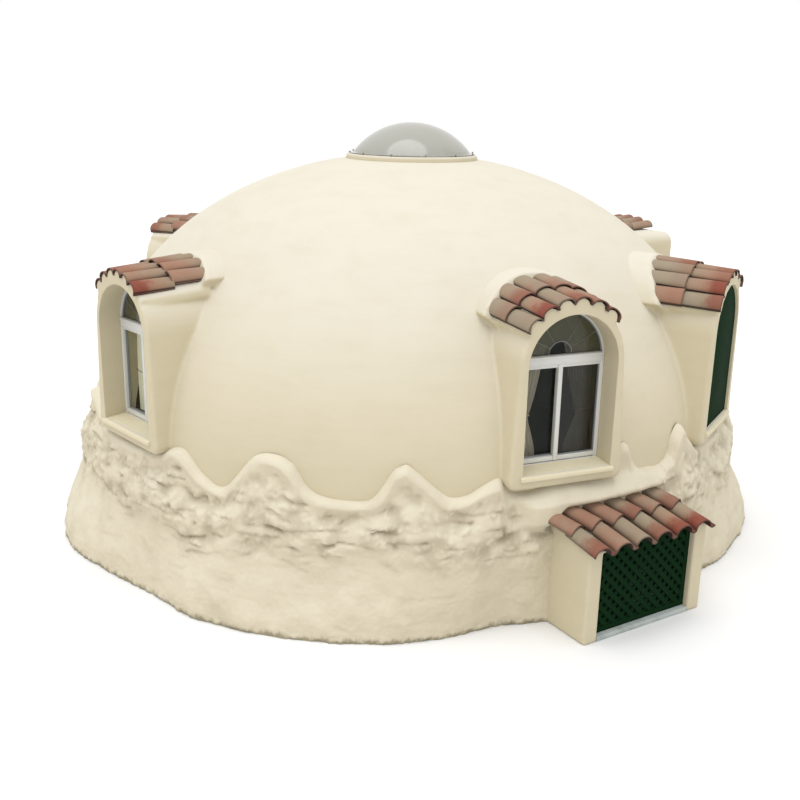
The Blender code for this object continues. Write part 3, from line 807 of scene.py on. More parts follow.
@dataclass(frozen=True)
class Concrete(Finish):
    """Trowelled concrete."""

    stain: Colour = (0.30, 0.31, 0.29)

    def dress(self, shader: Shader) -> None:
        """Clouded grey with small pores.

        Args:
            shader: The material's shader.
        """
        cloud = shader.ramp(shader.noise(5.0, 6.0, 0.65), 0.4, 0.75)
        pores = shader.noise(120.0, 3.0, 0.7)
        shader.feed(Base_Color=shader.blend(cloud * 0.6, self.colour, self.stain), Roughness=0.88)
        shader.bump(pores * 0.5 + cloud * 0.5, 0.3, 0.006)


@dataclass(frozen=True)
class Cloth(Finish):
    """Light curtain cloth with a fine weave; it may glow a little, painted light standing in for daylight
    from the room showing through it.
    """

    glow: float = 0.0

    def dress(self, shader: Shader) -> None:
        """A weave on the cloth's own map and a soft sheen.

        Args:
            shader: The material's shader.
        """
        thread = shader.node("ShaderNodeUVMap", uv_map="cloth")
        weave = {"Vector": thread, "Scale": 260.0, "Distortion": 0.0}
        across = shader.node("ShaderNodeTexWave", weave, output="Fac", bands_direction="X")
        down = shader.node("ShaderNodeTexWave", weave, output="Fac", bands_direction="Y")
        cloud = shader.noise(4.0, 3.0)
        deep = tuple(0.75 * c for c in self.colour)
        shader.feed(Base_Color=shader.blend(across * down * 0.4 + cloud * 0.2, self.colour, deep))
        # The glow is painted light: emission standing in for daylight from the room.
        shader.feed(Roughness=0.9, Sheen_Weight=0.3, Emission_Color=self.colour, Emission_Strength=self.glow)
        shader.bump(across + down, 0.15, 0.001)


PLASTER = Plaster("cream_plaster", Slot.PLASTER, (0.570, 0.503, 0.350))
# A paler copy of the cream plaster for the sills, which sit in the reveal's shade: painted light.
SILL = Plaster("lit_sill_plaster", Slot.PLASTER, (0.66, 0.59, 0.41), painted_top_highlight=(0.70, 0.635, 0.46))
# Near-black plaster for the shell's inside and its downward faces: painted shade.
SHADE_LINING = Plaster("inner_shade_lining", Slot.PLASTER, (0.10, 0.095, 0.08), (0.07, 0.065, 0.05), (0.10, 0.095, 0.08))
ROCKWORK = Rockwork("cream_rockwork", Slot.ROCKWORK, (0.600, 0.535, 0.395))
CLAY = Clay("barrel_tile_clay", Slot.TERRACOTTA, (0.285, 0.155, 0.098))
WHITE = Paint("white_frame_paint", Slot.ALUMINIUM, (0.63, 0.63, 0.60), 0.32, (0.36, 0.36, 0.33), 0.2)
# Dark grey for the sashes and fanlight bars: painted shade of the recess they sit back in.
GREY = Paint("shaded_sash_grey", Slot.ALUMINIUM, (0.20, 0.21, 0.215), 0.35, (0.14, 0.14, 0.14), 0.25)
GREEN = Paint("dark_green_paint", Slot.GREEN, (0.005, 0.022, 0.007), 0.7, (0.008, 0.028, 0.010), 0.3, 0.03)
GLASS = Pane("window_pane", Slot.GLASS, (0.014, 0.019, 0.013), 0.20, 0.03, 0.05)
DUSTY = Pane("dusty_pane", Slot.GLASS, (0.011, 0.012, 0.007), 0.52, 0.2, 0.08)
FAN = Pane("fanlight_pane", Slot.GLASS, (0.072, 0.072, 0.036), 0.62, 0.15, 0.10)
# The clear dome, with patches of painted dark reflection low on its sides.
ACRYLIC = Pane("clear_dome", Slot.ACRYLIC, (0.330, 0.325, 0.285), 0.975, 0.12, 0.0, 0.50)
# The backing behind the lattice: painted shade with spots of painted light.
DAPPLE = Dapple("painted_shade_backing", Slot.GREEN, (0.003, 0.008, 0.005))
STONE = Concrete("pale_concrete", Slot.CONCRETE, (0.42, 0.46, 0.44), (0.20, 0.23, 0.21))
FLOORING = Concrete("floor_concrete", Slot.CONCRETE, (0.07, 0.065, 0.055), (0.05, 0.045, 0.035))
CLOTH = Cloth("curtain_weave", Slot.CLOTH, (0.80, 0.76, 0.62))
# A glowing copy of the curtain cloth: painted light.
GLOWING_CLOTH = Cloth("lit_curtain_weave", Slot.CLOTH, (0.80, 0.80, 0.60), 0.34)
STEEL = Paint("bolt_steel", Slot.ALUMINIUM, (0.20, 0.19, 0.17), 0.45, (0.10, 0.07, 0.04), 0.5)


# The house

@dataclass(frozen=True)
class DomeForm:
    """The form of the shell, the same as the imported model's."""

    radius: float = 3.85
    spring: float = 1.30
    rise: float = 3.00
    power: float = 2.05
    thickness: float = 0.20
    crown: float = 0.80

    def profile(self, levels: int, inset: float = 0.0) -> list[Point]:
        """Points up the shell from the ground to the crown, in the plane y = 0.

        Args:
            levels: How many steps the curve has.
            inset: How far inside it runs.

        Returns:
            The points.
        """
        radius = self.radius - inset
        rise = self.rise - inset
        last = math.acos((self.crown / radius) ** (self.power / 2.0))
        points = [(radius, 0.0, 0.0), (radius, 0.0, self.spring * 0.5)]
        for i in range(levels + 1):
            turn = last * i / levels
            r = radius * math.cos(turn) ** (2.0 / self.power)
            points.append((r, 0.0, self.spring + rise * math.sin(turn) ** (2.0 / self.power)))
        return points

    def solid(self, name: str, inset: float) -> Part:
        """The whole dome as one solid, to cut others with.

        Args:
            name: The piece's name.
            inset: How far inside the shell's face it ends.

        Returns:
            The solid.
        """
        piece = draw(name, self.profile(20, inset))
        spin(piece, 90)
        with editing(piece):
            bpy.ops.mesh.fill_holes(sides=0)
        face_out(piece)
        return piece


@dataclass(frozen=True)
class Opening:
    """An arched opening: half its width, its foot and the springing of its arch."""

    half: float
    foot: float
    spring: float

    def outline(self, grow: float = 0.0) -> Outline:
        """Its outline, or one that is larger all round."""
        half = self.half + grow
        return [(-half, self.foot - grow), (half, self.foot - grow)] + arch(half, self.spring)

    def bore(self, front: float, lip: float, grow: float = 0.0) -> Part:
        """A cutter that leaves a rounded lip at y = front.

        Args:
            front: Where the opening meets the face.
            lip: The radius of the rounded edge.
            grow: How much larger the cutter is all round.

        Returns:
            The cutter.
        """
        cutter = draw("bore", [(x, WELL_INSIDE, z) for x, z in self.outline(grow)], closed=True)
        middle = (self.foot + self.spring + self.half) / 2.0
        reach = (self.spring + self.half - self.foot) / 2.0
        steps = [(front + lip, 0.0)]
        for i in range(1, 5):
            turn = math.pi / 2.0 * i / 4
            steps.append((front + lip * (1.0 - math.sin(turn)), lip * (1.0 - math.cos(turn))))
        steps.append((front - 0.3, lip))
        with editing(cutter):
            here, size = WELL_INSIDE, 1.0
            for y, wider in steps:
                target = 1.0 + wider / reach
                taper(y - here, target / size, (0.0, y, middle))
                here, size = y, target
        face_out(cutter)
        return cutter


@dataclass
class Shell:
    """The plaster shell, in one smooth piece, with a near-black lining of painted shade where it faces the
    room or turns down.
    """

    form: DomeForm
    gores: int = 10
    sides: int = 180
    levels: int = 30
    play: float = 0.006

    def build(self, holes: Sequence[tuple[Opening, float]]) -> None:
        """Spin the shell and cut its openings.

        Args:
            holes: Each opening with its azimuth.
        """
        shell = draw("shell", self.form.profile(self.levels))
        spin(shell, self.sides)
        modify(shell, "SOLIDIFY", thickness=self.form.thickness, offset=-1.0, use_even_offset=True)
        for opening, azimuth in holes:
            carve(shell, settle(opening.bore(BEYOND_WALL, 0.0, self.play), azimuth))
        PLASTER.put_on(shell, angle=30.0, nodes=[f"shell_gore_{i + 1:02d}" for i in range(self.gores)])
        shell.data.materials.append(SHADE_LINING.material())
        # Faces that look into the room or turn down get the near-black lining: painted shade.
        for face in shell.data.polygons:
            inward = face.center.x * face.normal.x + face.center.y * face.normal.y < -0.3
            face.material_index = 1 if inward or face.normal.z < -0.2 else 0


@dataclass
class PlasterMass:
    """Plaster worked over a rough block: cut back to the dome, blended into it and softened."""

    form: DomeForm
    voxel: float = 0.014
    edge: float = 0.0
    edge_top: float = 2.9
    passes: int = 16
    kept: float = 0.45
    back: float = -2.5
    coat_front: float = -4.3
    coat_depth: float = 0.06

    def work(
        self, name: str, outline: Outline, skirt_outline: Outline, face: float,
        extras: Sequence[Part], keep: Callable[[Vector], float],
    ) -> Part:
        """Work a block of plaster onto the shell.

        Args:
            name: The piece's name.
            outline: The block's outline.
            skirt_outline: The outline of the thin coat round it on the shell.
            face: The radius of its face.
            extras: Further rough shapes to work in.
            keep: How much a place is softened, from 0 to 1.

        Returns:
            The plaster.
        """
        body = prism(name, outline, -face, self.back)
        if self.edge:
            with editing(body, "EDGE", "DESELECT"):
                pass
            for side in body.data.edges:
                ends = [body.data.vertices[i].co for i in side.vertices]
                side.select = all(end.y < 0.001 - face and end.z < self.edge_top for end in ends)
            with editing(body, "EDGE", ""):
                bpy.ops.mesh.bevel(offset=self.edge, segments=4, affect="EDGES")
        coat = prism("coat", skirt_outline, self.coat_front, self.back)
        carve(coat, self.form.solid("outside", 0.001), "INTERSECT")
        carve(coat, self.form.solid("under_coat", self.coat_depth))
        for rough in (body, *extras):
            carve(rough, self.form.solid("inside", self.form.thickness - 0.004))
        mass = join(name, [body, *extras, coat])
        modify(mass, "REMESH", mode="VOXEL", voxel_size=self.voxel)
        weigh(mass, "soft", keep)
        modify(mass, "SMOOTH", factor=0.5, iterations=self.passes, vertex_group="soft")
        modify(mass, "SMOOTH", factor=0.5, iterations=2)
        modify(mass, "DECIMATE", ratio=self.kept)
        return mass


@dataclass
class BarrelTile:
    """One barrel tile, with its front end at y = 0."""

    width: float
    height: float
    length: float
    pan: float = 0.0
    thickness: float = 0.014
    taper: float = 0.91
    fullness: float = 0.85
    sag: float = 0.018
    edge: float = 0.004
    steps: int = 10
    rows: int = 5

    def section(self) -> Outline:
        """Its section: a round barrel, and a shallow pan beside it if it has one.

        Returns:
            The outline, from left to right.
        """
        half = self.width / 2.0
        points = []
        for i in range(self.steps + 1):
            turn = math.pi * i / self.steps
            points.append((-half * math.cos(turn), self.height * math.sin(turn) ** self.fullness))
        for i in range(1, 6 if self.pan else 0):
            share = i / 5.0
            points.append((half + self.pan * share, -self.sag * math.sin(math.pi * share)))
        return points

    def master(self) -> Part:
        """Model the tile once.

        Returns:
            The tile.
        """
        tile = draw("tile", [(x, 0.0, z) for x, z in self.section()])
        step = self.length / self.rows
        with editing(tile):
            size = 1.0
            for i in range(1, self.rows + 1):
                target = 1.0 + (self.taper - 1.0) * i / self.rows
                taper(step, target / size, (0.0, step * i, 0.0))
                size = target
        face_out(tile)
        modify(tile, "SOLIDIFY", thickness=self.thickness, offset=0.0)
        bevel(tile, self.edge, angle=50.0)
        note_values(tile, "along", [vertex.co.y / self.length for vertex in tile.data.vertices])
        note_values(tile, "crest", [vertex.co.z / self.height for vertex in tile.data.vertices])
        smooth(tile, 45.0)
        return tile


class TileLayer:
    """Lays copies of one tile, each with its own place, turn and colour.

    Its first four values are how far a tile may stray: aside and along in metres, turned and
    rolled in degrees.
    """

    aside: float = 0.003
    along: float = 0.010
    turn: float = 1.0
    roll: float = 1.6

    def __init__(self, tile: BarrelTile, seed: int) -> None:
        """Model the tile and start its dice."""
        self.master = tile.master()
        self.dice = random.Random(seed)
        self.laid: list[Part] = []

    def lay(self, place: Matrix, heat: float | None = None, tone: float | None = None) -> None:
        """Lay one tile.

        Args:
            place: Where its front end goes.
            heat: How red its front end is, or None for chance.
            tone: How warm its body is, or None for chance.
        """
        tile = duplicate(self.master, "laid_tile")
        count = len(tile.data.vertices)
        note_values(tile, "fired", [self.dice.uniform(0.0, 0.9) if heat is None else heat] * count)
        note_values(tile, "tone", [self.dice.uniform(0.0, 1.0) if tone is None else tone] * count)
        limits = (self.aside, self.along, self.turn, self.roll)
        x, y, turn, roll = [self.dice.uniform(-limit, limit) for limit in limits]
        turned = Matrix.Rotation(math.radians(turn), 4, "Z")
        rolled = Matrix.Rotation(math.radians(roll), 4, "Y")
        move(tile, place @ Matrix.Translation((x, y, 0.0)) @ turned @ rolled)
        self.laid.append(tile)

    def finish(self, name: str, azimuth: float, node: str) -> None:
        """Join the tiles into one roof, turn it to its azimuth and dress it."""
        bpy.data.objects.remove(self.master, do_unlink=True)
        CLAY.put_on(join(name, self.laid), azimuth, nodes=[node])


@dataclass
class Hood:
    """An arched plaster hood round a window, with its sill and its tiles."""

    form: DomeForm
    opening: Opening = Opening(0.48, 1.58, 2.62)
    face: float = 3.96
    bottom: float = 1.44
    half: float = 0.56
    foot_half: float = 0.62
    corner: float = 0.07
    tiles: int = 6
    tile_span: float = 46.5
    lean: float = -5.5
    fan: float = -3.0
    base: float = 0.592
    slope: float = 4.0
    step: float = 0.022
    row: float = 0.40
    joint: float = 0.012
    barrel: float = 0.054
    lap: float = 0.045
    pan: float = 0.010
    overhang: float = 0.020
    spread: float = 0.10
    skirt: float = 0.13
    rounded: float = 0.032
    lip: float = 0.006
    fill: float = 0.079
    band_inner: float = 0.49
    band_foot: float = 0.545
    bed_reach: float = 0.580
    collar_reach: float = 0.740
    fired: dict = field(default_factory=lambda: {
        "a": (((0.6, 0.3, 0.5, 0.3, 0.1, 1.0), (0.1, 0.2, 0.3, 0.5, 0.1, 0.0)),
              ((0.5, 0.6, 0.7, 0.9, 0.6, 0.9), (0.5, 0.6, 0.4, 0.5, 0.9, 0.8))),
        "b": (((0.1, 1.0, 0.1, 0.65, 0.35, 0.5), (0.3, 0.7, 0.2, 0.3, 0.5, 0.3)),
              ((0.2, 0.9, 0.3, 0.9, 1.0, 0.8), (0.3, 0.5, 0.4, 0.6, 0.3, 0.5))),
        "c": (((0.8, 1.0, 0.5, 0.6, 0.6, 0.2), (0.1, 0.2, 0.3, 0.6, 0.2, 0.4)),
              ((0.0, 0.8, 0.7, 0.8, 0.6, 0.9), (1.0, 0.1, 0.2, 0.7, 0.4, 0.6))),
        "f": (((0.3, 0.8, 0.1, 0.5, 0.2, 0.7), (0.2, 0.5, 0.4, 0.3, 0.6, 0.3)),
              ((0.5, 0.7, 0.2, 0.8, 0.4, 0.6), (0.3, 0.6, 0.4, 0.5, 0.2, 0.7))),
    })

    def outline(self, grow: float = 0.0) -> Outline:
        """Outside of the hood: an arch on sides that spread towards rounded feet.

        Args:
            grow: How much larger it is all round.

        Returns:
            The outline.
        """
        foot = self.foot_half + grow
        low = self.bottom - grow
        soft = self.corner * (1.0 - math.sqrt(0.5))
        right = [(foot - self.corner, low), (foot - soft, low + soft), (foot, low + self.corner)]
        left = [(-x, z) for x, z in reversed(right)]
        return left + right + arch(self.half + grow, self.opening.spring)

    def tile_angle(self, column: float) -> float:
        """Angle from upright of a place counted in tiles from the left."""
        return self.lean + self.tile_span * (2.0 * column / self.tiles - 1.0)

    def around(self, radius: float, angle: float, y: float) -> Point:
        """A point round the arch's centre, at an angle from upright."""
        turn = math.radians(angle)
        return (radius * math.sin(turn), y, self.opening.spring + radius * math.cos(turn))

    def scallops(self) -> list[Part]:
        """Mortar that fills the front end of each barrel.

        Returns:
            One piece for each tile.
        """
        made = []
        for column in range(self.tiles):
            place = self.around(self.base - 0.037, self.tile_angle(column + 0.5), -3.880)
            made.append(primitive(
                bpy.ops.mesh.primitive_cylinder_add, "scallop", vertices=24, radius=self.fill, depth=0.17,
                location=place, rotation=OUTWARD))
        return made

    def band(self, reach: float, extra: float) -> Outline:
        """A band round the arch under the tiles.

        Args:
            reach: Its outer radius.
            extra: Over how many degrees it runs out beside the tiles.

        Returns:
            Its outline.
        """
        steps = 40
        first, last = self.lean + self.tile_span + extra, self.lean - self.tile_span - extra
        turns = [first + (last - first) * i / steps for i in range(steps + 1)]
        outer = []
        for turn in turns:
            beside = abs(turn - self.lean) - self.tile_span
            fall = ease((beside / extra - 0.55) / 0.45)
            outer.append(self.around(reach - (reach - self.band_foot) * fall, turn, 0.0))
        inner = [self.around(self.band_inner, turn, 0.0) for turn in reversed(turns)]
        return [(x, z) for x, _, z in outer + inner]

    def wedge(self, outline: Outline, front: float, length: float, growth: float) -> Part:
        """A body along the hood whose outline grows towards the shell.

        Args:
            outline: Its outline at its front.
            front: Its front, in y.
            length: How long it is.
            growth: How many times larger its rear is.

        Returns:
            The body.
        """
        body = draw("wedge", [(x, front, z) for x, z in outline], closed=True)
        with editing(body):
            taper(length, growth, (0.0, front + length, self.opening.spring))
        return body

    def bed(self) -> Part:
        """Mortar under the tiles, thicker towards the shell as the tiles rise."""
        band = self.band(self.bed_reach, 13.0 if self.fan else 3.0)
        body = self.wedge(band, -3.945, 0.78, 1.135)
        face_out(body)
        return body

    def collar(self) -> Part:
        """Mortar smeared over the tiles' rear ends, spreading onto the shell.

        Returns:
            The rough shape.
        """
        body = self.wedge(self.band(self.collar_reach, 6.0), -3.3, 0.80, 1.005)
        for vertex in body.data.vertices:
            if vertex.co.y < -3.0:
                wobble = 0.05 * noise.noise(Vector((vertex.co.x * 9.0, 4.0, vertex.co.z * 9.0)))
                vertex.co.y = (vertex.co.z - 3.03) * 0.62 - 3.31 + wobble
        face_out(body)
        return body

    def softness(self, place: Vector) -> float:
        """How much the plaster is softened at a place: least where it fills the barrels."""
        radius = math.hypot(place.x, place.z - self.opening.spring)
        scalloped = place.z > self.opening.spring and radius > 0.555
        return (0.10 if scalloped else 0.55) if place.y < -3.86 else 1.0

    def plaster(self) -> Part:
        """Work the hood's plaster, once for all hoods with the same tiles.

        Returns:
            The plaster.
        """
        extras = [*self.scallops(), self.bed(), self.collar()]
        mass = PlasterMass(self.form, edge=self.rounded).work(
            "hood", self.outline(), self.outline(self.skirt), self.face, extras, self.softness)
        carve(mass, self.opening.bore(-self.face, self.lip))
        smooth(mass, 40.0)
        return mass

    def sill(self) -> Part:
        """The sill board in the opening, its lip just proud of the face.

        Returns:
            The sill.
        """
        lip = -self.face - 0.028
        board = ((lip, -0.050), (lip, -0.008), (-3.88, 0.006), (-3.88, -0.050))
        top = ((-3.885, -0.01), (-3.885, 0.006), (-3.60, 0.020), (-3.60, -0.01))
        parts = []
        for half, section in ((self.opening.half + 0.025, board), (self.opening.half - 0.001, top)):
            points = [(-half, y, self.opening.foot + z) for y, z in section]
            parts.append(slab("sill", points, (2.0 * half, 0.0, 0.0)))
        bevel(parts[0], 0.006)
        sill = join("sill", parts)
        smooth(sill, 35.0)
        return sill

    def lay_tiles(self, key: str, azimuth: float) -> None:
        """Lay both rows of tiles round the arch, rising towards the shell.

        Args:
            key: The hood's letter.
            azimuth: Where it stands.
        """
        wide = 2.0 * self.base * math.tan(math.radians(self.tile_span / self.tiles))
        tile = BarrelTile(wide - self.joint, self.barrel, self.row + self.lap, self.pan)
        layer = TileLayer(tile, 100 + ord(key))
        heats, tones = self.fired.get(key, self.fired["f"])
        slope = math.radians(self.slope)
        slew = Matrix.Rotation(math.radians(self.fan), 4, "Z") @ Matrix.Rotation(slope, 4, "X")
        front = -self.face - self.overhang
        for column in range(self.tiles):
            for row in (1, 0):
                y = front + row * (self.row + layer.dice.uniform(-0.012, 0.012))
                angle = self.tile_angle(column + 0.5) + self.fan * row
                turn = Matrix.Rotation(math.radians(angle), 4, "Y")
                radius = self.base + self.step * row + (y - front) * math.tan(slope)
                spread = Matrix.Diagonal((1.0 + self.spread * row, 1.0, 1.0, 1.0))
                place = Matrix.Translation(self.around(radius, angle, y)) @ turn @ slew @ spread
                layer.lay(place, heats[row][column], tones[row][column])
        layer.finish(f"barrel_tiles_{key}", azimuth, f"hood_tiles_{key}")


@dataclass
class ArchedWindow:
    """A white arched window: fanlight, transom and two sashes."""

    opening: Opening
    face: float = 3.72
    depth: float = 0.07
    jamb: float = 0.040
    rim: float = 0.018
    transom_low: float = 2.555
    transom_high: float = 2.665
    fan_radius: float = 0.125
    fan_half: float = 0.464
    rays: tuple = (28.0, 58.0, 122.0, 152.0)
    lining: float = 0.014
    sheet: float = 0.004

    def rectangle(self, left: float, right: float, low: float, high: float) -> Outline:
        """A rectangle's outline."""
        return [(left, low), (right, low), (right, high), (left, high)]

    def frame(self) -> Part:
        """Outer frame, transom, middle stile and foot rail.

        Returns:
            The frame.
        """
        half = self.opening.half - 0.002
        foot = self.opening.foot
        outline = Opening(half, foot + 0.002, self.opening.spring).outline()
        ring = ring_prism("ring", outline, -self.face, self.depth - self.face, self.rim)
        bevel(ring, 0.005, angle=40.0)
        inner = half - 0.02
        low, high = self.transom_low, self.transom_high
        # Each bar: left, right, front and back from the face, foot, head and rounded edge
        bars = (
            (-inner, inner, -0.008, 0.06, low + 0.02, high, 0.005),
            (-inner, inner, -0.020, 0.02, high - 0.022, high - 0.004, 0.004),
            (-inner, inner, 0.004, 0.05, low - 0.012, low + 0.03, 0.003),
            (-half, self.jamb - half, 0.001, 0.06, foot + 0.004, high, 0.004),
            (half - self.jamb, half, 0.001, 0.06, foot + 0.004, high, 0.004),
            (-0.024, 0.024, -0.006, 0.05, foot + 0.03, low + 0.03, 0.005),
            (-inner, inner, 0.002, 0.05, foot + 0.03, foot + 0.075, 0.004),
        )
        parts = [ring]
        for left, right, near, far, bottom, top, edge in bars:
            corner = (right, far - self.face, top)
            parts.append(block("bar", (left, near - self.face, bottom), corner, edge))
        return join("frame", parts)

    def fan_bars(self) -> list[Part]:
        """The grey inner ring, the half round and the thin rays of the fanlight, dark grey as painted shade.

        Returns:
            The bars.
        """
        y = -self.face + 0.03
        foot = self.transom_high
        half_round = [(x, y, z) for x, z in arch(self.fan_radius, foot, 16)]
        bars = [tube("half_round", half_round, 0.0055)]
        for degrees in self.rays:
            turn = math.radians(degrees)
            reach = self.opening.half - 0.045 - 0.02 * math.sin(turn)
            start = (self.fan_radius * math.cos(turn), y, foot + self.fan_radius * math.sin(turn))
            end = (reach * math.cos(turn), y, foot + (reach - 0.01) * math.sin(turn))
            bars.append(tube("ray", [start, end], 0.0022))
        half = self.fan_half
        ring = [(-half, foot - 0.01), (half, foot - 0.01)] + arch(half, self.opening.spring + 0.002)
        bars.append(ring_prism("fan_ring", ring, -self.face + 0.018, -self.face + 0.045, self.lining))
        return bars

    def sashes(self) -> Part:
        """The grey linings of the two sliding sashes and of the fanlight; their dark grey is painted shade
        of the recess they sit in.

        Returns:
            The linings in one piece.
        """
        low = self.opening.foot + 0.06
        high = self.transom_low + 0.02
        front = -self.face + 0.012
        outlines = (self.rectangle(-0.457, 0.022, low, high), self.rectangle(-0.012, 0.455, low, high))
        left = ring_prism("left_sash", outlines[0], front + 0.02, front + 0.045, 0.028)
        right = ring_prism("right_sash", outlines[1], front, front + 0.03, 0.026)
        return join("sashes", [left, right, *self.fan_bars()])

    def panes(self) -> dict[str, Part]:
        """The sheets of glass: clear, dusty in the right sash, hazy round the half disc.

        Returns:
            The sheets by kind.
        """
        half = self.opening.half - 0.018
        low = self.opening.foot + 0.05
        top = self.transom_low + 0.01
        back = 0.050 - self.face
        foot = self.transom_high - 0.02
        pane = 0.034 - self.face
        disc = prism("fan_disc", arch(self.fan_radius, foot + 0.02, 16), pane + 0.006, pane + 0.010)
        left = prism("left_pane", self.rectangle(-0.43, 0.0, low, top), back, back + self.sheet)
        inner = list(reversed(arch(self.fan_radius, foot + 0.02, 16)))
        return {
            "clear": join("clear", [left, disc]),
            "dusty": prism("dusty", self.rectangle(0.0, 0.43, low, top), back - 0.02, back - 0.016),
            "hazy": prism("hazy", arch(half, self.opening.spring + 0.002) + inner, pane, pane + self.sheet),
        }

    def build(self, key: str, azimuth: float) -> None:
        """Build the window at an azimuth.

        Args:
            key: The window's letter.
            azimuth: Where it stands round the house.
        """
        frame = self.frame()
        frame.name = f"window_{key}_frame"
        WHITE.put_on(frame, azimuth, 35.0, [f"window_frame_{key}"])
        sashes = self.sashes()
        sashes.name = f"window_{key}_sashes"
        GREY.put_on(sashes, azimuth)
        panes = self.panes()
        for kind, finish in (("clear", GLASS), ("dusty", DUSTY), ("hazy", FAN)):
            panes[kind].name = f"window_{key}_{kind}_pane"
            finish.put_on(panes[kind], azimuth, nodes=[f"window_glass_{key}"] if kind == "clear" else ())


@dataclass
class Curtains:
    """A pair of pleated curtains, each tied back to its side.

    Their widths are kept by side, -1 for left and 1 for right: at the head, the tie and the hem.
    """

    widths: dict
    reach: float = 0.475
    face: float = 3.535
    foot: float = 1.60
    head: float = 2.73
    tie: float = 2.04
    flat: float = 0.70
    spring: float = 2.62
    cord: float = 0.007
    pleats: int = 8
    columns: int = 96
    rows: int = 44

    def width(self, side: float, z: float) -> float:
        """Width of a curtain: wide at its head, gathered at its tie.

        Args:
            side: Which curtain.
            z: The height.

        Returns:
            The width.
        """
        full, tied, hem = self.widths[side]
        if z > self.tie:
            return tied + (full - tied) * ((z - self.tie) / (self.head - self.tie)) ** 0.75
        return tied + (hem - tied) * ease((self.tie - z) / (self.tie - self.foot)) ** 0.8

    def half_at(self, z: float) -> float:
        """Half the opening's width at a height, inside its arch."""
        above = max(z - self.spring, 0.0)
        return math.sqrt(max(self.reach ** 2 - above ** 2, 0.01))

    def curtain(self, key: str, side: float, azimuth: float) -> Part:
        """Hang one curtain.

        Args:
            key: The window's letter.
            side: -1 for the left curtain and 1 for the right one.
            azimuth: Where the window stands.

        Returns:
            The curtain.
        """
        cloth = primitive(
            bpy.ops.mesh.primitive_grid_add, f"curtain_{key}_{'left' if side < 0 else 'right'}",
            x_subdivisions=self.columns, y_subdivisions=self.rows, size=1.0)
        cloth.data.uv_layers[0].name = "cloth"
        pitch_flat = self.flat / self.pleats
        for vertex in cloth.data.vertices:
            across = vertex.co.x + 0.5
            z = self.foot + (self.head - self.foot) * (vertex.co.y + 0.5)
            wide = self.width(side, z)
            pitch = wide / self.pleats
            swing = math.sqrt(max((pitch_flat / 2.0) ** 2 - (pitch / 2.0) ** 2, 0.0)) / 2.2
            wave = math.sin(2.0 * math.pi * self.pleats * across + 0.8 * math.sin(3.0 * z + side))
            x = side * (self.half_at(z) - wide * across)
            vertex.co = (x, -self.face + swing * wave, z)
        # Window a's curtains take the glowing cloth: painted light.
        (GLOWING_CLOTH if key == "a" else CLOTH).put_on(cloth, azimuth, 60.0)
        return cloth

    def build(self, key: str, azimuth: float) -> None:
        """Hang both curtains of a window, with their ties.

        Args:
            key: The window's letter.
            azimuth: Where it stands round the house.
        """
        for side in (-1.0, 1.0):
            cloth = self.curtain(key, side, azimuth)
            outer = side * (self.reach - 0.002)
            inner = side * (self.reach - self.width(side, self.tie) - 0.008)
            near, far = -self.face - 0.024, 0.024 - self.face
            loop = [(outer, -self.face, self.tie + 0.02), (outer, near, self.tie + 0.015),
                    (inner, near, self.tie), (inner, far, self.tie), (outer, far, self.tie + 0.015)]
            band = tube(f"curtain_{key}_tie_{'left' if side < 0 else 'right'}", loop, self.cord)
            CLOTH.put_on(band, azimuth)
            self.head - self.foot
            if side < 0:
                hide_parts(f"curtains_{key}")


@dataclass
class Skylight:
    """The curb in the crown, the clear dome on it and the screws that hold it."""

    inner: float = 0.62
    outer: float = 0.795
    low: float = 4.06
    top: float = 4.30
    cap: float = 0.712
    rise: float = 0.352
    screws: int = 12
    first_screw: float = 12.0
    screw: float = 0.010
    sheet: float = 0.005
    sides: int = 120

    def build(self) -> None:
        """Build curb, dome and screws."""
        low, top = self.low, self.top
        section = [
            (self.inner, low), (self.outer, low),
            (self.outer, top - 0.028), (self.outer - 0.008, top - 0.008), (self.outer - 0.028, top),
            (self.inner + 0.015, top), (self.inner, top - 0.015), (self.inner, low),
        ]
        curb = draw("skylight_ring", [(x, 0.0, z) for x, z in section])
        spin(curb, self.sides)
        PLASTER.put_on(curb, angle=50.0, nodes=["skylight_curb"])

        flange = self.top + 0.004
        radius = (self.cap ** 2 + self.rise ** 2) / (2.0 * self.rise)
        edge = math.asin(self.cap / radius)
        line = [(self.outer - 0.030, flange + 0.002), (self.outer - 0.031, flange + 0.006),
                (self.cap + 0.035, flange + 0.006), (self.cap + 0.012, flange + 0.012)]
        for i in range(25):
            turn = edge * (1.0 - i / 24.0)
            z = flange + 0.012 + self.rise - radius * (1.0 - math.cos(turn))
            line.append((max(radius * math.sin(turn), 0.0004), z))
        dome = draw("clear_dome_cap", [(x, 0.0, z) for x, z in line])
        spin(dome, self.sides)
        with editing(dome):
            bpy.ops.mesh.remove_doubles(threshold=0.0012)
            bpy.ops.mesh.normals_make_consistent(inside=False)
        modify(dome, "SOLIDIFY", thickness=self.sheet, offset=-1.0)
        ACRYLIC.put_on(dome, angle=50.0, nodes=["skylight_dome"])

        heads = []
        for i in range(self.screws):
            turn = self.first_screw + 360.0 * i / self.screws
            head = primitive(
                bpy.ops.mesh.primitive_cylinder_add, "screw", vertices=12, radius=self.screw, depth=0.014,
                location=polar(self.outer - 0.03, turn, flange + 0.013))
            bevel(head, 0.003)
            heads.append(head)
        STEEL.put_on(join("skylight_screws", heads), angle=40.0)


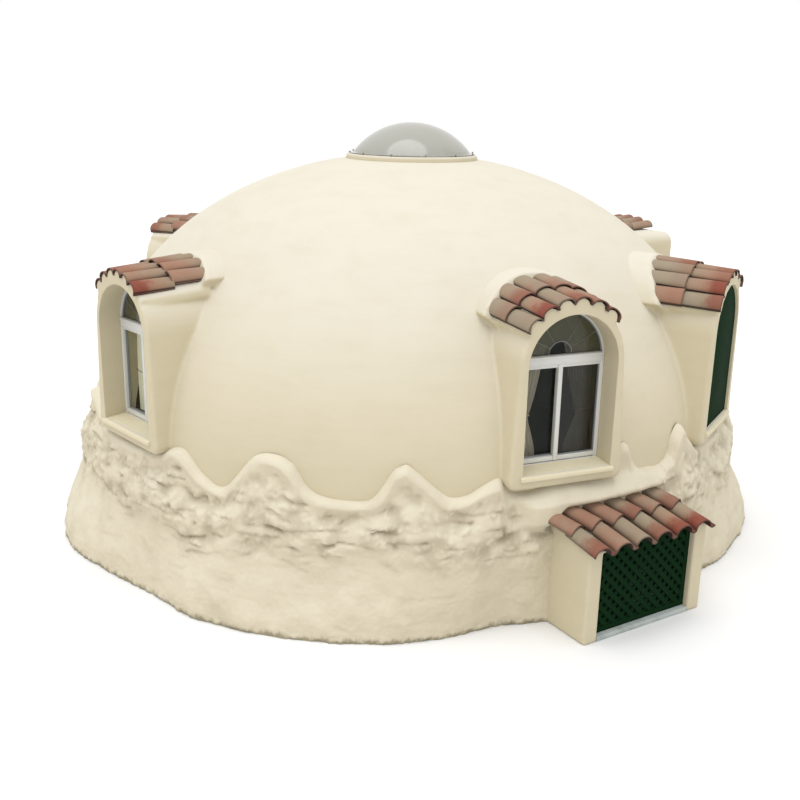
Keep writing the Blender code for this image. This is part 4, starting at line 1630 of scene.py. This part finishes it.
@dataclass
class Porch:
    """The entrance porch, with its door and the short tile crest on top."""

    form: DomeForm
    azimuth: float = 127.0
    face: float = 4.00
    half: float = 0.85
    top: float = 3.19
    corner: float = 0.14
    skirt: float = 0.12
    lip: float = 0.012
    doorway: Opening = Opening(0.48, 0.25, 2.05)
    leaf: Opening = Opening(0.475, 0.252, 2.05)
    rim: Opening = Opening(0.478, 0.252, 2.05)
    door_face: float = 3.76
    boards: int = 6
    groove: float = 0.004
    columns: int = 5
    tile: float = 0.176
    barrel: float = 0.082
    tile_length: float = 0.46
    row: float = 0.42
    swell: float = 0.065
    tilt: float = -2.6

    def outline(self, grow: float = 0.0) -> Outline:
        """Upright sides and a flat top with round shoulders.

        Args:
            grow: How much larger it is all round.

        Returns:
            The outline.
        """
        half = self.half + grow
        top = self.top + grow
        right = []
        for i in range(7):
            turn = math.pi / 2.0 * i / 6
            x, z = self.corner * (1.0 - math.cos(turn)), self.corner * (1.0 - math.sin(turn))
            right.append((half - x, top - z))
        return [(-half, 0.0), (half, 0.0)] + right + [(-x, z) for x, z in reversed(right)]

    def build(self) -> None:
        """Build porch, door and crest."""
        mass = PlasterMass(self.form, voxel=0.018).work(
            "entrance_porch", self.outline(), self.outline(self.skirt), self.face, [], lambda place: 1.0)
        carve(mass, self.doorway.bore(-self.face, self.lip))
        level_off(mass)
        PLASTER.put_on(mass, self.azimuth, 40.0, ["porch"])
        self.door()
        layer = TileLayer(BarrelTile(self.tile, self.barrel, self.tile_length), 7)
        tilt = Matrix.Rotation(math.radians(self.tilt), 4, "X")
        for column in range(self.columns):
            x = self.tile * (column - (self.columns - 1) / 2.0)
            rise = self.swell * math.cos(x / 0.44 * math.pi / 2.0)
            for row in (1, 0):
                y = -self.face - 0.035 + row * self.row
                layer.lay(Matrix.Translation((x, y, self.top + 0.012 + rise)) @ tilt)
        layer.finish("porch_crest_tiles", self.azimuth, "porch_tiles")

    def door(self) -> None:
        """A boarded door in a plain frame."""
        face = -self.door_face
        leaf = prism("door_leaf", self.leaf.outline(), face + 0.012, face + 0.045)
        for i in range(1, self.boards):
            x = -self.leaf.half + 2.0 * self.leaf.half * i / self.boards
            low, high = (x - self.groove, face - 0.02, 0.0), (x + self.groove, face + 0.018, 3.0)
            carve(leaf, block("groove", low, high))
        rim = ring_prism("door_rim", self.rim.outline(), face - 0.006, face + 0.044, 0.05)
        bevel(rim, 0.005)
        GREEN.put_on(join("boarded_door", [leaf, rim]), self.azimuth, 35.0, ["entrance_door"])


@dataclass
class LeanTo:
    """The low housing in front: walls, threshold, lattice and tiles."""

    azimuth: float = 32.6
    face: float = 4.43
    half: float = 0.776
    wall: float = 0.165
    eave: float = 0.955
    pitch: float = 9.0
    columns: int = 6
    first: float = -0.72
    spacing: float = 0.264
    tile: float = 0.194
    barrel: float = 0.088
    joint: float = 0.190
    lap: float = 0.045
    row: float = 0.395
    overhang: float = 0.110
    step: float = 0.022
    rear_turn: float = 21.0
    rear_rise: float = 6.0
    wall_back: float = -3.70
    lump: float = 0.022
    lath: tuple = (0.024, 0.003, 0.85)
    lath_spacing: float = 0.12
    rim: float = 0.05

    def slope(self, x: float, along: float, above: float) -> Point:
        """A point of the roof, by its place across, up the slope and above its bed."""
        pitch = math.radians(self.pitch)
        y = along * math.cos(pitch) - above * math.sin(pitch) - self.face
        return (x, y, self.eave + along * math.sin(pitch) + above * math.cos(pitch))

    def side(self, sign: float) -> Part:
        """One side wall, its top under the slope of the roof.

        Args:
            sign: -1 for the left wall and 1 for the right one.

        Returns:
            The wall.
        """
        back = self.wall_back
        rise = (back + self.face) * math.tan(math.radians(self.pitch))
        inner = sign * (self.half - self.wall)
        section = ((-self.face, 0.0), (back, 0.0), (back, self.eave + rise), (-self.face, self.eave))
        return slab("side_wall", [(inner, y, z) for y, z in section], (sign * self.wall, 0.0, 0.0))

    def bedding(self) -> list[Part]:
        """The mortar bed under the tiles, with a lump under each pan at the eave.

        Returns:
            The bed and its lumps.
        """
        left = 0.01 - self.half
        section = ((0.22, -0.05), (0.60, -0.05), (0.60, 0.030), (0.22, 0.008))
        points = [self.slope(left, along, above) for along, above in section]
        lumps = [slab("bed", points, (-2.0 * left, 0.0, 0.0))]
        for column in range(self.columns - 1):
            x = self.first + self.spacing * (column + 0.5)
            lumps.append(block("lump", (x - self.lump, -self.face - 0.050, self.eave - 0.015),
                               (x + self.lump, -self.face + 0.25, self.eave + 0.008)))
        return lumps

    def build(self) -> None:
        """Build the housing."""
        body = join("leanto_plaster", [self.side(-1.0), self.side(1.0), *self.bedding()])
        modify(body, "REMESH", mode="VOXEL", voxel_size=0.014)
        modify(body, "SMOOTH", factor=0.5, iterations=12)
        modify(body, "DECIMATE", ratio=0.5)
        level_off(body)
        PLASTER.put_on(body, self.azimuth, 50.0, ["leanto_wall_left", "leanto_wall_right"])
        self.lay_tiles()
        self.lattice()
        half = self.half - self.wall - 0.001
        sill = block("threshold", (-half, -self.face + 0.002, 0.0), (half, -self.face + 0.22, 0.048), 0.008)
        STONE.put_on(sill, self.azimuth, 35.0, ["leanto_threshold"])

    def lay_tiles(self) -> None:
        """Lay both rows of the roof; the rear row is turned and steeper."""
        tile = BarrelTile(self.tile, self.barrel, self.row + self.lap, self.spacing - self.joint)
        layer = TileLayer(tile, 41)
        steeper = Matrix.Rotation(math.radians(self.pitch + self.rear_rise), 4, "X")
        tilts = [Matrix.Rotation(math.radians(self.pitch), 4, "X"),
                 Matrix.Rotation(math.radians(self.rear_turn), 4, "Z") @ steeper]
        heats = ((0.8, 0.1, 0.1, 0.75, 0.95, 1.0), (0.1, 0.15, 0.2, 0.7, 0.2, 0.65))
        tones = ((0.1, 0.7, 0.3, 0.1, 0.6, 0.4), (0.7, 0.8, 0.7, 0.2, 0.5, 0.2))
        for column in range(self.columns):
            x = self.first + self.spacing * column
            for row in (1, 0):
                place = self.slope(x, row * self.row - self.overhang, 0.020 + self.step * row)
                turned = Matrix.Translation(place) @ tilts[row]
                layer.lay(turned, heats[row][column], tones[row][column])
        layer.finish("leanto_barrel_tiles", self.azimuth, "leanto_tiles")

    def laths(self, sign: float, half: float, front: float, low: float, high: float) -> Part:
        """The laths that lean one way, cut to the board frame.

        Args:
            sign: Which way they lean, and which layer they lie in.
            half: Half the frame's width.
            front: The frame's front.
            low: The frame's foot.
            high: The frame's top.

        Returns:
            The laths.
        """
        made = []
        lean = Matrix.Rotation(sign * math.radians(45.0), 4, "Y")
        for i in range(-8, 9):
            lath = block("lath", [-size for size in self.lath], self.lath)
            x = i * self.lath_spacing
            place = Matrix.Translation((x, front + 0.016 + 0.005 * sign, (low + high) / 2.0))
            made.append(move(lath, place @ lean))
        layer = join("laths", made)
        corners = ((-half + 0.03, front - 0.1, low + 0.03), (half - 0.03, front + 0.1, high - 0.03))
        carve(layer, block("inside", *corners), "INTERSECT")
        return layer

    def lattice(self) -> None:
        """Crossed laths in a board frame, before a near-black board of painted shade with spots of painted
        light.
        """
        half = self.half - self.wall - 0.002
        low, high = 0.052, self.eave - 0.004
        front = -self.face + 0.06
        outline = [(-half, low), (half, low), (half, high), (-half, high)]
        frame = ring_prism("screen_frame", outline, front, front + 0.035, self.rim)
        bevel(frame, 0.004)
        parts = [frame, *[self.laths(sign, half, front, low, high) for sign in (-1.0, 1.0)]]
        # The near-black backing stands for the dark space behind the laths: painted shade, with painted
        # spots of light.
        shade = primitive(
            bpy.ops.mesh.primitive_grid_add, "screen_backing",
            x_subdivisions=48, y_subdivisions=32, size=1.0)
        lights = []
        for vertex in shade.data.vertices:
            x = vertex.co.x * 2.0 * (half - 0.02)
            z = (low + high) / 2.0 + vertex.co.y * (high - low - 0.04)
            lights.append(ease(1.0 - math.hypot((x - 0.05) / 0.30, (z - 0.38) / 0.32)))
            vertex.co = (x, front + 0.030 + 0.004 * noise.noise(Vector((x * 9.0, z * 9.0, 2.0))), z)
        note_values(shade, "light", lights)
        DAPPLE.put_on(shade, self.azimuth)
        GREEN.put_on(join("lattice_screen", parts), self.azimuth, 35.0, ["leanto_screen"])


@dataclass
class Rock:
    """The plinth: mortar worked into rock, with a smooth rolled crest.

    Over the lean-to it goes on as a smooth mound that starts above the tiles.  The crest and the
    reach of the foot are curves round the house; the plinth turns in to the wall at its stops.
    """

    runs: tuple = (("a", 43.0, 79.5), ("b", 79.5, 116.0), ("c", 138.0, 200.0), ("d", 200.0, 262.0),
                   ("e", 262.0, 322.0), ("f", 322.0, 382.0), ("mound", 22.0, 43.0))
    crest: tuple = (
        (-180.0, 1.43), (-172.0, 1.60), (-162.0, 1.32), (-152.0, 1.66), (-143.0, 1.30), (-133.0, 1.56),
        (-128.0, 1.44), (-111.0, 1.44), (-106.0, 1.58), (-97.0, 1.26), (-88.0, 1.64), (-79.0, 1.32),
        (-70.0, 1.64), (-63.0, 1.55), (-56.0, 1.43), (-41.5, 1.43), (-39.3, 1.46), (-37.6, 1.52),
        (-35.6, 1.54), (-33.9, 1.48), (-32.1, 1.37), (-30.7, 1.31), (-28.8, 1.25), (-27.1, 1.27),
        (-25.2, 1.40), (-23.4, 1.55), (-22.0, 1.64), (-20.1, 1.68), (-17.9, 1.67), (-16.2, 1.61),
        (-15.3, 1.54), (-14.1, 1.42), (-12.8, 1.35), (-10.7, 1.31), (-8.1, 1.30), (-5.4, 1.31),
        (-4.2, 1.36), (-2.9, 1.48), (-1.6, 1.62), (-0.7, 1.66), (0.3, 1.68), (1.9, 1.60), (5.0, 1.42),
        (6.6, 1.36), (8.9, 1.38), (10.7, 1.45), (12.3, 1.51), (13.5, 1.53), (14.2, 1.47), (14.9, 1.40),
        (17.5, 1.38), (22.0, 1.43), (30.5, 1.43), (31.9, 1.56), (33.4, 1.70), (35.0, 1.70), (36.3, 1.53),
        (37.7, 1.42), (39.9, 1.40), (42.9, 1.38), (45.0, 1.46), (46.1, 1.64), (48.0, 1.74), (49.3, 1.62),
        (51.8, 1.45), (53.5, 1.43), (68.0, 1.45), (70.5, 1.60), (72.0, 1.76), (74.5, 1.84), (78.0, 1.72),
        (84.0, 1.36), (94.0, 1.62), (104.0, 1.30), (112.0, 1.55), (127.0, 1.50), (143.0, 1.60),
        (152.0, 1.36), (159.0, 1.58), (162.0, 1.44), (176.0, 1.43), (180.0, 1.43),
    )
    wall: float = 3.85
    reach: tuple = (
        (-180.0, 0.46), (-150.0, 0.42), (-110.0, 0.48), (-76.0, 0.47), (-66.0, 0.50), (-58.9, 0.52),
        (-55.0, 0.475), (-50.0, 0.425), (-43.6, 0.345), (-38.4, 0.34), (-31.4, 0.434), (-26.0, 0.46),
        (-14.0, 0.42), (-2.0, 0.36), (8.0, 0.20), (12.5, 0.10), (21.5, 0.09), (31.0, 0.12), (45.0, 0.20),
        (56.6, 0.307), (67.7, 0.412), (76.6, 0.507), (110.0, 0.47), (150.0, 0.42), (180.0, 0.46),
    )
    stops: tuple = (116.0, 138.0)
    lip: float = 0.092
    roll: float = 0.15
    columns: dict = field(default_factory=dict)
    cell: float = 0.017
    girth: float = 4.1
    levels: int = 100
    bare: float = 0.90

    def crest_at(self, azimuth: float) -> float:
        """Height of the crest."""
        return curve(self.crest, (azimuth + 180.0) % 360.0 - 180.0)

    def reach_at(self, azimuth: float) -> float:
        """How far the foot stands out from the wall."""
        return curve(self.reach, (azimuth + 180.0) % 360.0 - 180.0)

    def column(self, azimuth: float) -> tuple[float, float, float]:
        """Look at the crest line, once for each azimuth.

        Args:
            azimuth: The place round the house.

        Returns:
            The crest's height, its steepness, and its height levelled out.
        """
        key = round(azimuth, 3)
        if key not in self.columns:
            climb = (self.crest_at(azimuth + 0.4) - self.crest_at(azimuth - 0.4)) / 0.055
            levelled = sum(self.crest_at(azimuth + 1.5 * i) * (6 - abs(i)) for i in range(-5, 6)) / 36.0
            self.columns[key] = (self.crest_at(azimuth), math.sqrt(1.0 + min(climb * climb, 6.0)), levelled)
        return self.columns[key]

    def depth(self, azimuth: float, z: float, below: float) -> float:
        """How far the smooth form stands out from the wall.

        Args:
            azimuth: The place round the house.
            z: Its height.
            below: How far it is below the crest, square to the crest's line.

        Returns:
            The distance from the wall in metres.
        """
        reach = self.reach_at(azimuth)
        upper = min(0.20, reach + 0.04)
        sway = ripple(azimuth, 5.0, 6.0)
        shoulder = 0.86 + 0.12 * ripple(azimuth, 17.0, 3.0)
        lip = self.lip * (1.0 + 0.35 * sway)
        depth = lip + (upper - lip) * ease((below - 0.14) / 0.36)
        depth -= 0.013 * (1.0 + 2.0 * sway) * ease((below - 0.06) / 0.10) * ease((0.36 - below) / 0.18)
        depth += (reach - upper) * ease((shoulder - z) / 0.88)
        mound = ease((azimuth - 15.5) / 3.0) * ease((44.0 - azimuth) / 3.0) * ease((z - 0.95) / 0.06)
        rest = 0.045 + 0.075 * ease((21.6 - azimuth) / 2.0)
        slope = min(max((z - 1.27) / 0.17, 0.0), 1.0)
        left = ease((23.5 - azimuth) / 3.5)
        start = 1.16 - 0.15 * left
        out = 0.165 + 0.035 * left
        depth += (rest + (out - rest) * ease((z - start) / 0.09) - (out - 0.04) * slope - depth) * mound
        return depth - 0.010 * ease((0.04 - z) / 0.04)

    def ledge(self, place: Vector, height: float, shift: float) -> tuple[float, float]:
        """Broken ledges that stand out towards their undersides.

        Args:
            place: The place on the smooth form.
            height: The height of a course.
            shift: An offset, so that two sets of ledges differ.

        Returns:
            How far the place stands out, and how deep it lies under a ledge, both from 0 to 1.
        """
        bend = noise.noise(place * 1.4 + Vector((shift, 0.0, 0.0))) * 1.2
        bend += noise.noise(place * 5.0 + Vector((0.0, shift, 0.0))) * 0.30
        course = place.z / height + bend
        base = math.floor(course)
        up = course - base

        def strength(row: float) -> float:
            """How far a course's ledge stands out here."""
            spot = Vector((place.x * 4.2, place.y * 4.2, row * 4.7 + shift))
            return ease(noise.noise(spot) * 3.0 - 0.10)

        mine = strength(base)
        above = strength(base + 1.0)
        out = mine * ease(up / 0.16) * (1.0 - up)
        return out, above * ease((up - 0.62) / 0.33) + mine * (1.0 - ease(up / 0.10))

    def relief(self, place: Vector, azimuth: float, z: float, below: float) -> tuple[float, float]:
        """How far the rock stands out or in at a place.

        Args:
            place: The place on the smooth form.
            azimuth: The place round the house.
            z: Its height.
            below: How far it is below the crest.

        Returns:
            The relief in metres, and how much painted shade it gets: most in pits and under ledges, least on
            knobs, lumps and specks.
        """
        low = 0.58 + 0.25 * ripple(azimuth, 9.0, 8.0)
        mound = ease((azimuth - 15.5) / 2.0) * ease((42.0 - azimuth) / 3.0) * ease((z - 0.95) / 0.10)
        bite = ripple(azimuth, 2.6, 2.0) + 0.5 * ripple(azimuth, 1.1, 9.0)
        under_roll = ease((below - 0.09 - 0.13 * bite) / 0.09)
        rough = (0.15 + 0.85 * ease((z - low) / 0.35)) * under_roll * (1.0 - mound)
        big, under = self.ledge(place, 0.20, 3.0)
        small, beneath = self.ledge(place, 0.085, 11.0)
        swell = 0.9 * noise.noise(place * 1.6) + 0.5 * noise.noise(place * 3.7)
        drape = noise.noise(Vector((place.x * 2.6, place.y * 2.6, place.z * 0.9 + 5.0)))
        lumps = noise.noise(place * 6.5)
        stir = noise.noise(place * 13.0) * 0.35
        spots, centres = noise.voronoi(place * 8.5 + Vector((stir, -stir, stir)))
        knob = ease(1.0 - spots[0] / 0.62) * ease(noise.noise(centres[0] * 1.3) * 2.4 + 0.3)
        holes, middles = noise.voronoi(place * 6.0 + Vector((stir, stir, -stir)))
        pit = ease(1.0 - holes[0] / 0.30) * ease(noise.noise(middles[0] * 1.7) * 4.0 - 0.2)
        grit, _ = noise.voronoi(place * 17.0 + Vector((-stir, stir, stir)) * 1.5)
        speck = ease(1.0 - grit[0] / 0.60)
        raised = (0.030 * swell + 0.020 * drape * (1.0 - rough)) * (1.0 - 0.7 * mound)
        raised += rough * (0.024 * big + 0.012 * small + 0.016 * lumps + 0.027 * knob - 0.024 * pit)
        raised += rough * (0.010 * speck + 0.010 * noise.noise(place * 12.0))
        raised -= rough * (0.013 * under + 0.007 * beneath)
        raised += 0.012 * noise.noise(place * 5.5)
        raised += 0.003 * noise.noise(place * 28.0) * (1.0 - mound)
        raised += 0.020 * noise.noise(place * 20.0) * ease((0.10 - z) / 0.08)
        # Painted shade: darker in pits and under ledges, lighter on knobs, lumps and specks.
        hollow = 0.6 * under + 0.35 * beneath + 0.9 * pit - 0.45 * knob - 0.8 * lumps + 0.30 - 0.45 * speck
        return raised, rough * hollow

    def shape(self, azimuth: float, level: float, low: float) -> tuple[Vector, float]:
        """Place a point of the strip.

        Args:
            azimuth: The place round the house.
            level: How far up the strip it is, from 0 to 1; the top tenth is the rolled crest.
            low: The height of the strip's foot.

        Returns:
            Its place, and how much painted shade it gets in its hollows.
        """
        top, steep, levelled = self.column(azimuth)
        roll = self.roll * 0.5 * steep * (1.0 + 0.7 * ripple(azimuth, 4.0, 14.0))
        if level <= self.bare:
            z = low + (top - roll - low) * level / self.bare
            below = (top - z) / steep
            below += (levelled - z - below) * ease((top - z) / 0.45)
            depth = self.depth(azimuth, z, below)
        else:
            turn = math.pi / 2.0 * (level - self.bare) / (1.0 - self.bare)
            z = top - roll + roll * math.sin(turn)
            below = (top - z) / steep
            depth = self.depth(azimuth, z, roll / steep) * math.cos(turn) - 0.02 * math.sin(turn)
        raised, hollow = self.relief(Vector(polar(self.wall + depth, azimuth, z)), azimuth, z, below)
        fade = ease((1.0 - level) / 0.05)
        end = ease(min(abs(azimuth - stop) for stop in self.stops) / 0.9)
        return Vector(polar(self.wall + (depth + raised * fade) * end, azimuth, z)), hollow

    def run(self, key: str, first: float, last: float) -> None:
        """Work one run of the plinth.

        Args:
            key: The run's letter, or "mound".
            first: The azimuth where it starts.
            last: The azimuth where it ends.
        """
        mound = key == "mound"
        columns = round(math.radians(last - first) * self.girth / self.cell)
        levels = self.levels // 3 if mound else self.levels
        strip = draw(f"rock_{key}", [(4.0, 0.0, i / levels) for i in range(levels + 1)])
        move(strip, Matrix.Rotation(math.radians(first - 90.0), 4, "Z"))
        with editing(strip):
            bpy.ops.mesh.spin(steps=columns, angle=math.radians(first - last), axis=(0.0, 0.0, 1.0))
        middle = (first + last) / 2.0
        hollows = []
        for vertex in strip.data.vertices:
            azimuth = math.degrees(math.atan2(vertex.co.x, -vertex.co.y))
            azimuth = (azimuth + 180.0 - middle) % 360.0 - 180.0 + middle
            turned = azimuth if azimuth < 200.0 else azimuth - 360.0
            vertex.co, hollow = self.shape(turned, vertex.co.z, 1.0 if mound else 0.0)
            hollows.append(min(max(hollow, 0.0), 1.0))
        # Keep the painted shade for the rockwork's colour.
        note_values(strip, "hollow", hollows)
        face_out(strip)
        ROCKWORK.put_on(strip, angle=60.0, nodes=["leanto_collar" if mound else f"plinth_{key}"])

    def build(self) -> None:
        """Work every run."""
        for key, first, last in self.runs:
            self.run(key, first, last)


@dataclass
class House:
    """The whole house."""

    form: DomeForm = DomeForm()
    windows: tuple = (("a", -47.7), ("b", 23.0), ("d", -119.7), ("f", 168.3))
    closed_hood: tuple = ("c", 60.8)
    widths: dict = field(default_factory=lambda: {
        "a": {-1.0: (0.473, 0.455, 0.472), 1.0: (0.473, 0.455, 0.472)},
        "b": {-1.0: (0.41, 0.245, 0.345), 1.0: (0.33, 0.15, 0.29)},
    })
    laying: dict = field(default_factory=lambda: {"b": (52.5, -4.0, 0.0), "c": (54.0, -8.5, 0.0)})

    def build(self, frame: dict) -> None:
        """Build every piece in order.
        """
        hood = Hood(self.form)
        porch = Porch(self.form)
        places = [*self.windows, self.closed_hood]
        holes = [(hood.opening, azimuth) for _, azimuth in places]
        Shell(self.form).build([*holes, (porch.doorway, porch.azimuth)])
        masters: dict = {}
        sill = hood.sill()
        for key, azimuth in places:
            laying = self.laying.get(key, (hood.tile_span, hood.lean, hood.fan))
            if laying not in masters:
                span, lean, fan = laying
                kind = Hood(self.form, tile_span=span, lean=lean, fan=fan)
                masters[laying] = (kind, kind.plaster())
            kind, plaster = masters[laying]
            PLASTER.put_on(duplicate(plaster, f"plaster_hood_{key}"), azimuth, nodes=[f"hood_{key}"])
            SILL.put_on(duplicate(sill, f"sill_{key}"), azimuth)
            kind.lay_tiles(key, azimuth)
        for master in (*[plaster for _, plaster in masters.values()], sill):
            bpy.data.objects.remove(master, do_unlink=True)
        for key, azimuth in self.windows:
            ArchedWindow(hood.opening).build(key, azimuth)
            if key in self.widths:
                Curtains(self.widths[key]).build(key, azimuth)
        self.panel(hood.opening)
        Skylight().build()
        porch.build()
        LeanTo().build()
        Rock().build()
        floor = frame["nodes"]["floor_slab"]
        floor.data.materials.clear()
        floor.data.materials.append(FLOORING.material())

    def panel(self, opening: Opening) -> None:
        """The plain panel that closes one hood.

        Args:
            opening: The opening that it closes.
        """
        key, azimuth = self.closed_hood
        outline = Opening(opening.half - 0.002, opening.foot + 0.004, opening.spring).outline()
        panel = prism(f"green_panel_{key}", outline, -3.93, -3.895)
        bevel(panel, 0.004, angle=50.0)
        GREEN.put_on(panel, azimuth, 35.0, [f"closing_panel_{key}"])


@dataclass(frozen=True)
class Studio:
    """Pale floor, soft light and the photograph's viewpoint."""

    place: Point = (0.0, -12.802, 5.004)
    pitch: float = 16.72
    turn: float = -0.381
    roll: float = 1.129
    lens: float = 46.006

    def set_camera(self) -> None:
        """Put the camera where the photograph was taken from."""
        pitch, turn, roll = (math.radians(v) for v in (self.pitch, self.turn, self.roll))
        flat = math.cos(pitch)
        ahead = Vector((math.sin(turn) * flat, math.cos(turn) * flat, -math.sin(pitch)))
        right = Vector((math.cos(turn), -math.sin(turn), 0.0))
        up = right.cross(ahead)
        across = right * math.cos(roll) + up * math.sin(roll)
        above = up * math.cos(roll) - right * math.sin(roll)
        data = bpy.data.cameras.new("camera")
        data.lens = self.lens
        data.sensor_width = 36.0
        camera = bpy.data.objects.new("camera", data)
        bpy.context.scene.collection.objects.link(camera)
        turned = Matrix((across, above, -ahead)).transposed().to_4x4()
        camera.matrix_world = Matrix.Translation(self.place) @ turned
        bpy.context.scene.camera = camera

    def set_light(self) -> None:
        """A bright overcast sky with a soft main light from the upper left."""
        world = bpy.data.worlds.new("sky")
        bpy.context.scene.world = world
        world.use_nodes = True
        sky = world.node_tree.nodes["Background"]
        sky.inputs["Color"].default_value = (1.0, 1.0, 1.0, 1.0)
        sky.inputs["Strength"].default_value = 1.0
        data = bpy.data.lights.new("overhead", "SUN")
        data.angle = math.radians(50.0)
        data.energy = 1.8
        lamp = bpy.data.objects.new("overhead", data)
        lamp.location = (-1.4, -2.4, 13.0)
        aim = Vector((0.0, 0.0, 1.5)) - lamp.location
        lamp.rotation_euler = aim.to_track_quat("-Z", "Y").to_euler()
        bpy.context.scene.collection.objects.link(lamp)
        bpy.context.scene.view_settings.view_transform = "Standard"

    def set_floor(self) -> None:
        """A plain pale floor."""
        floor = primitive(
            bpy.ops.mesh.primitive_plane_add, "studio_floor", size=120.0, location=(0.0, 0.0, -0.002))
        shader = Shader("studio_floor")
        shader.feed(Base_Color=(0.74, 0.74, 0.74), Roughness=0.9)
        floor.data.materials.append(shader.material)


def main() -> None:
    """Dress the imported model."""
    logging.basicConfig(level=logging.INFO, stream=sys.stdout, format="%(name)s: %(message)s")
    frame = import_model()
    House().build(frame)
    studio = Studio()
    studio.set_floor()
    studio.set_light()
    studio.set_camera()
    LOG.info("done")


if __name__ == "__main__":
    main()
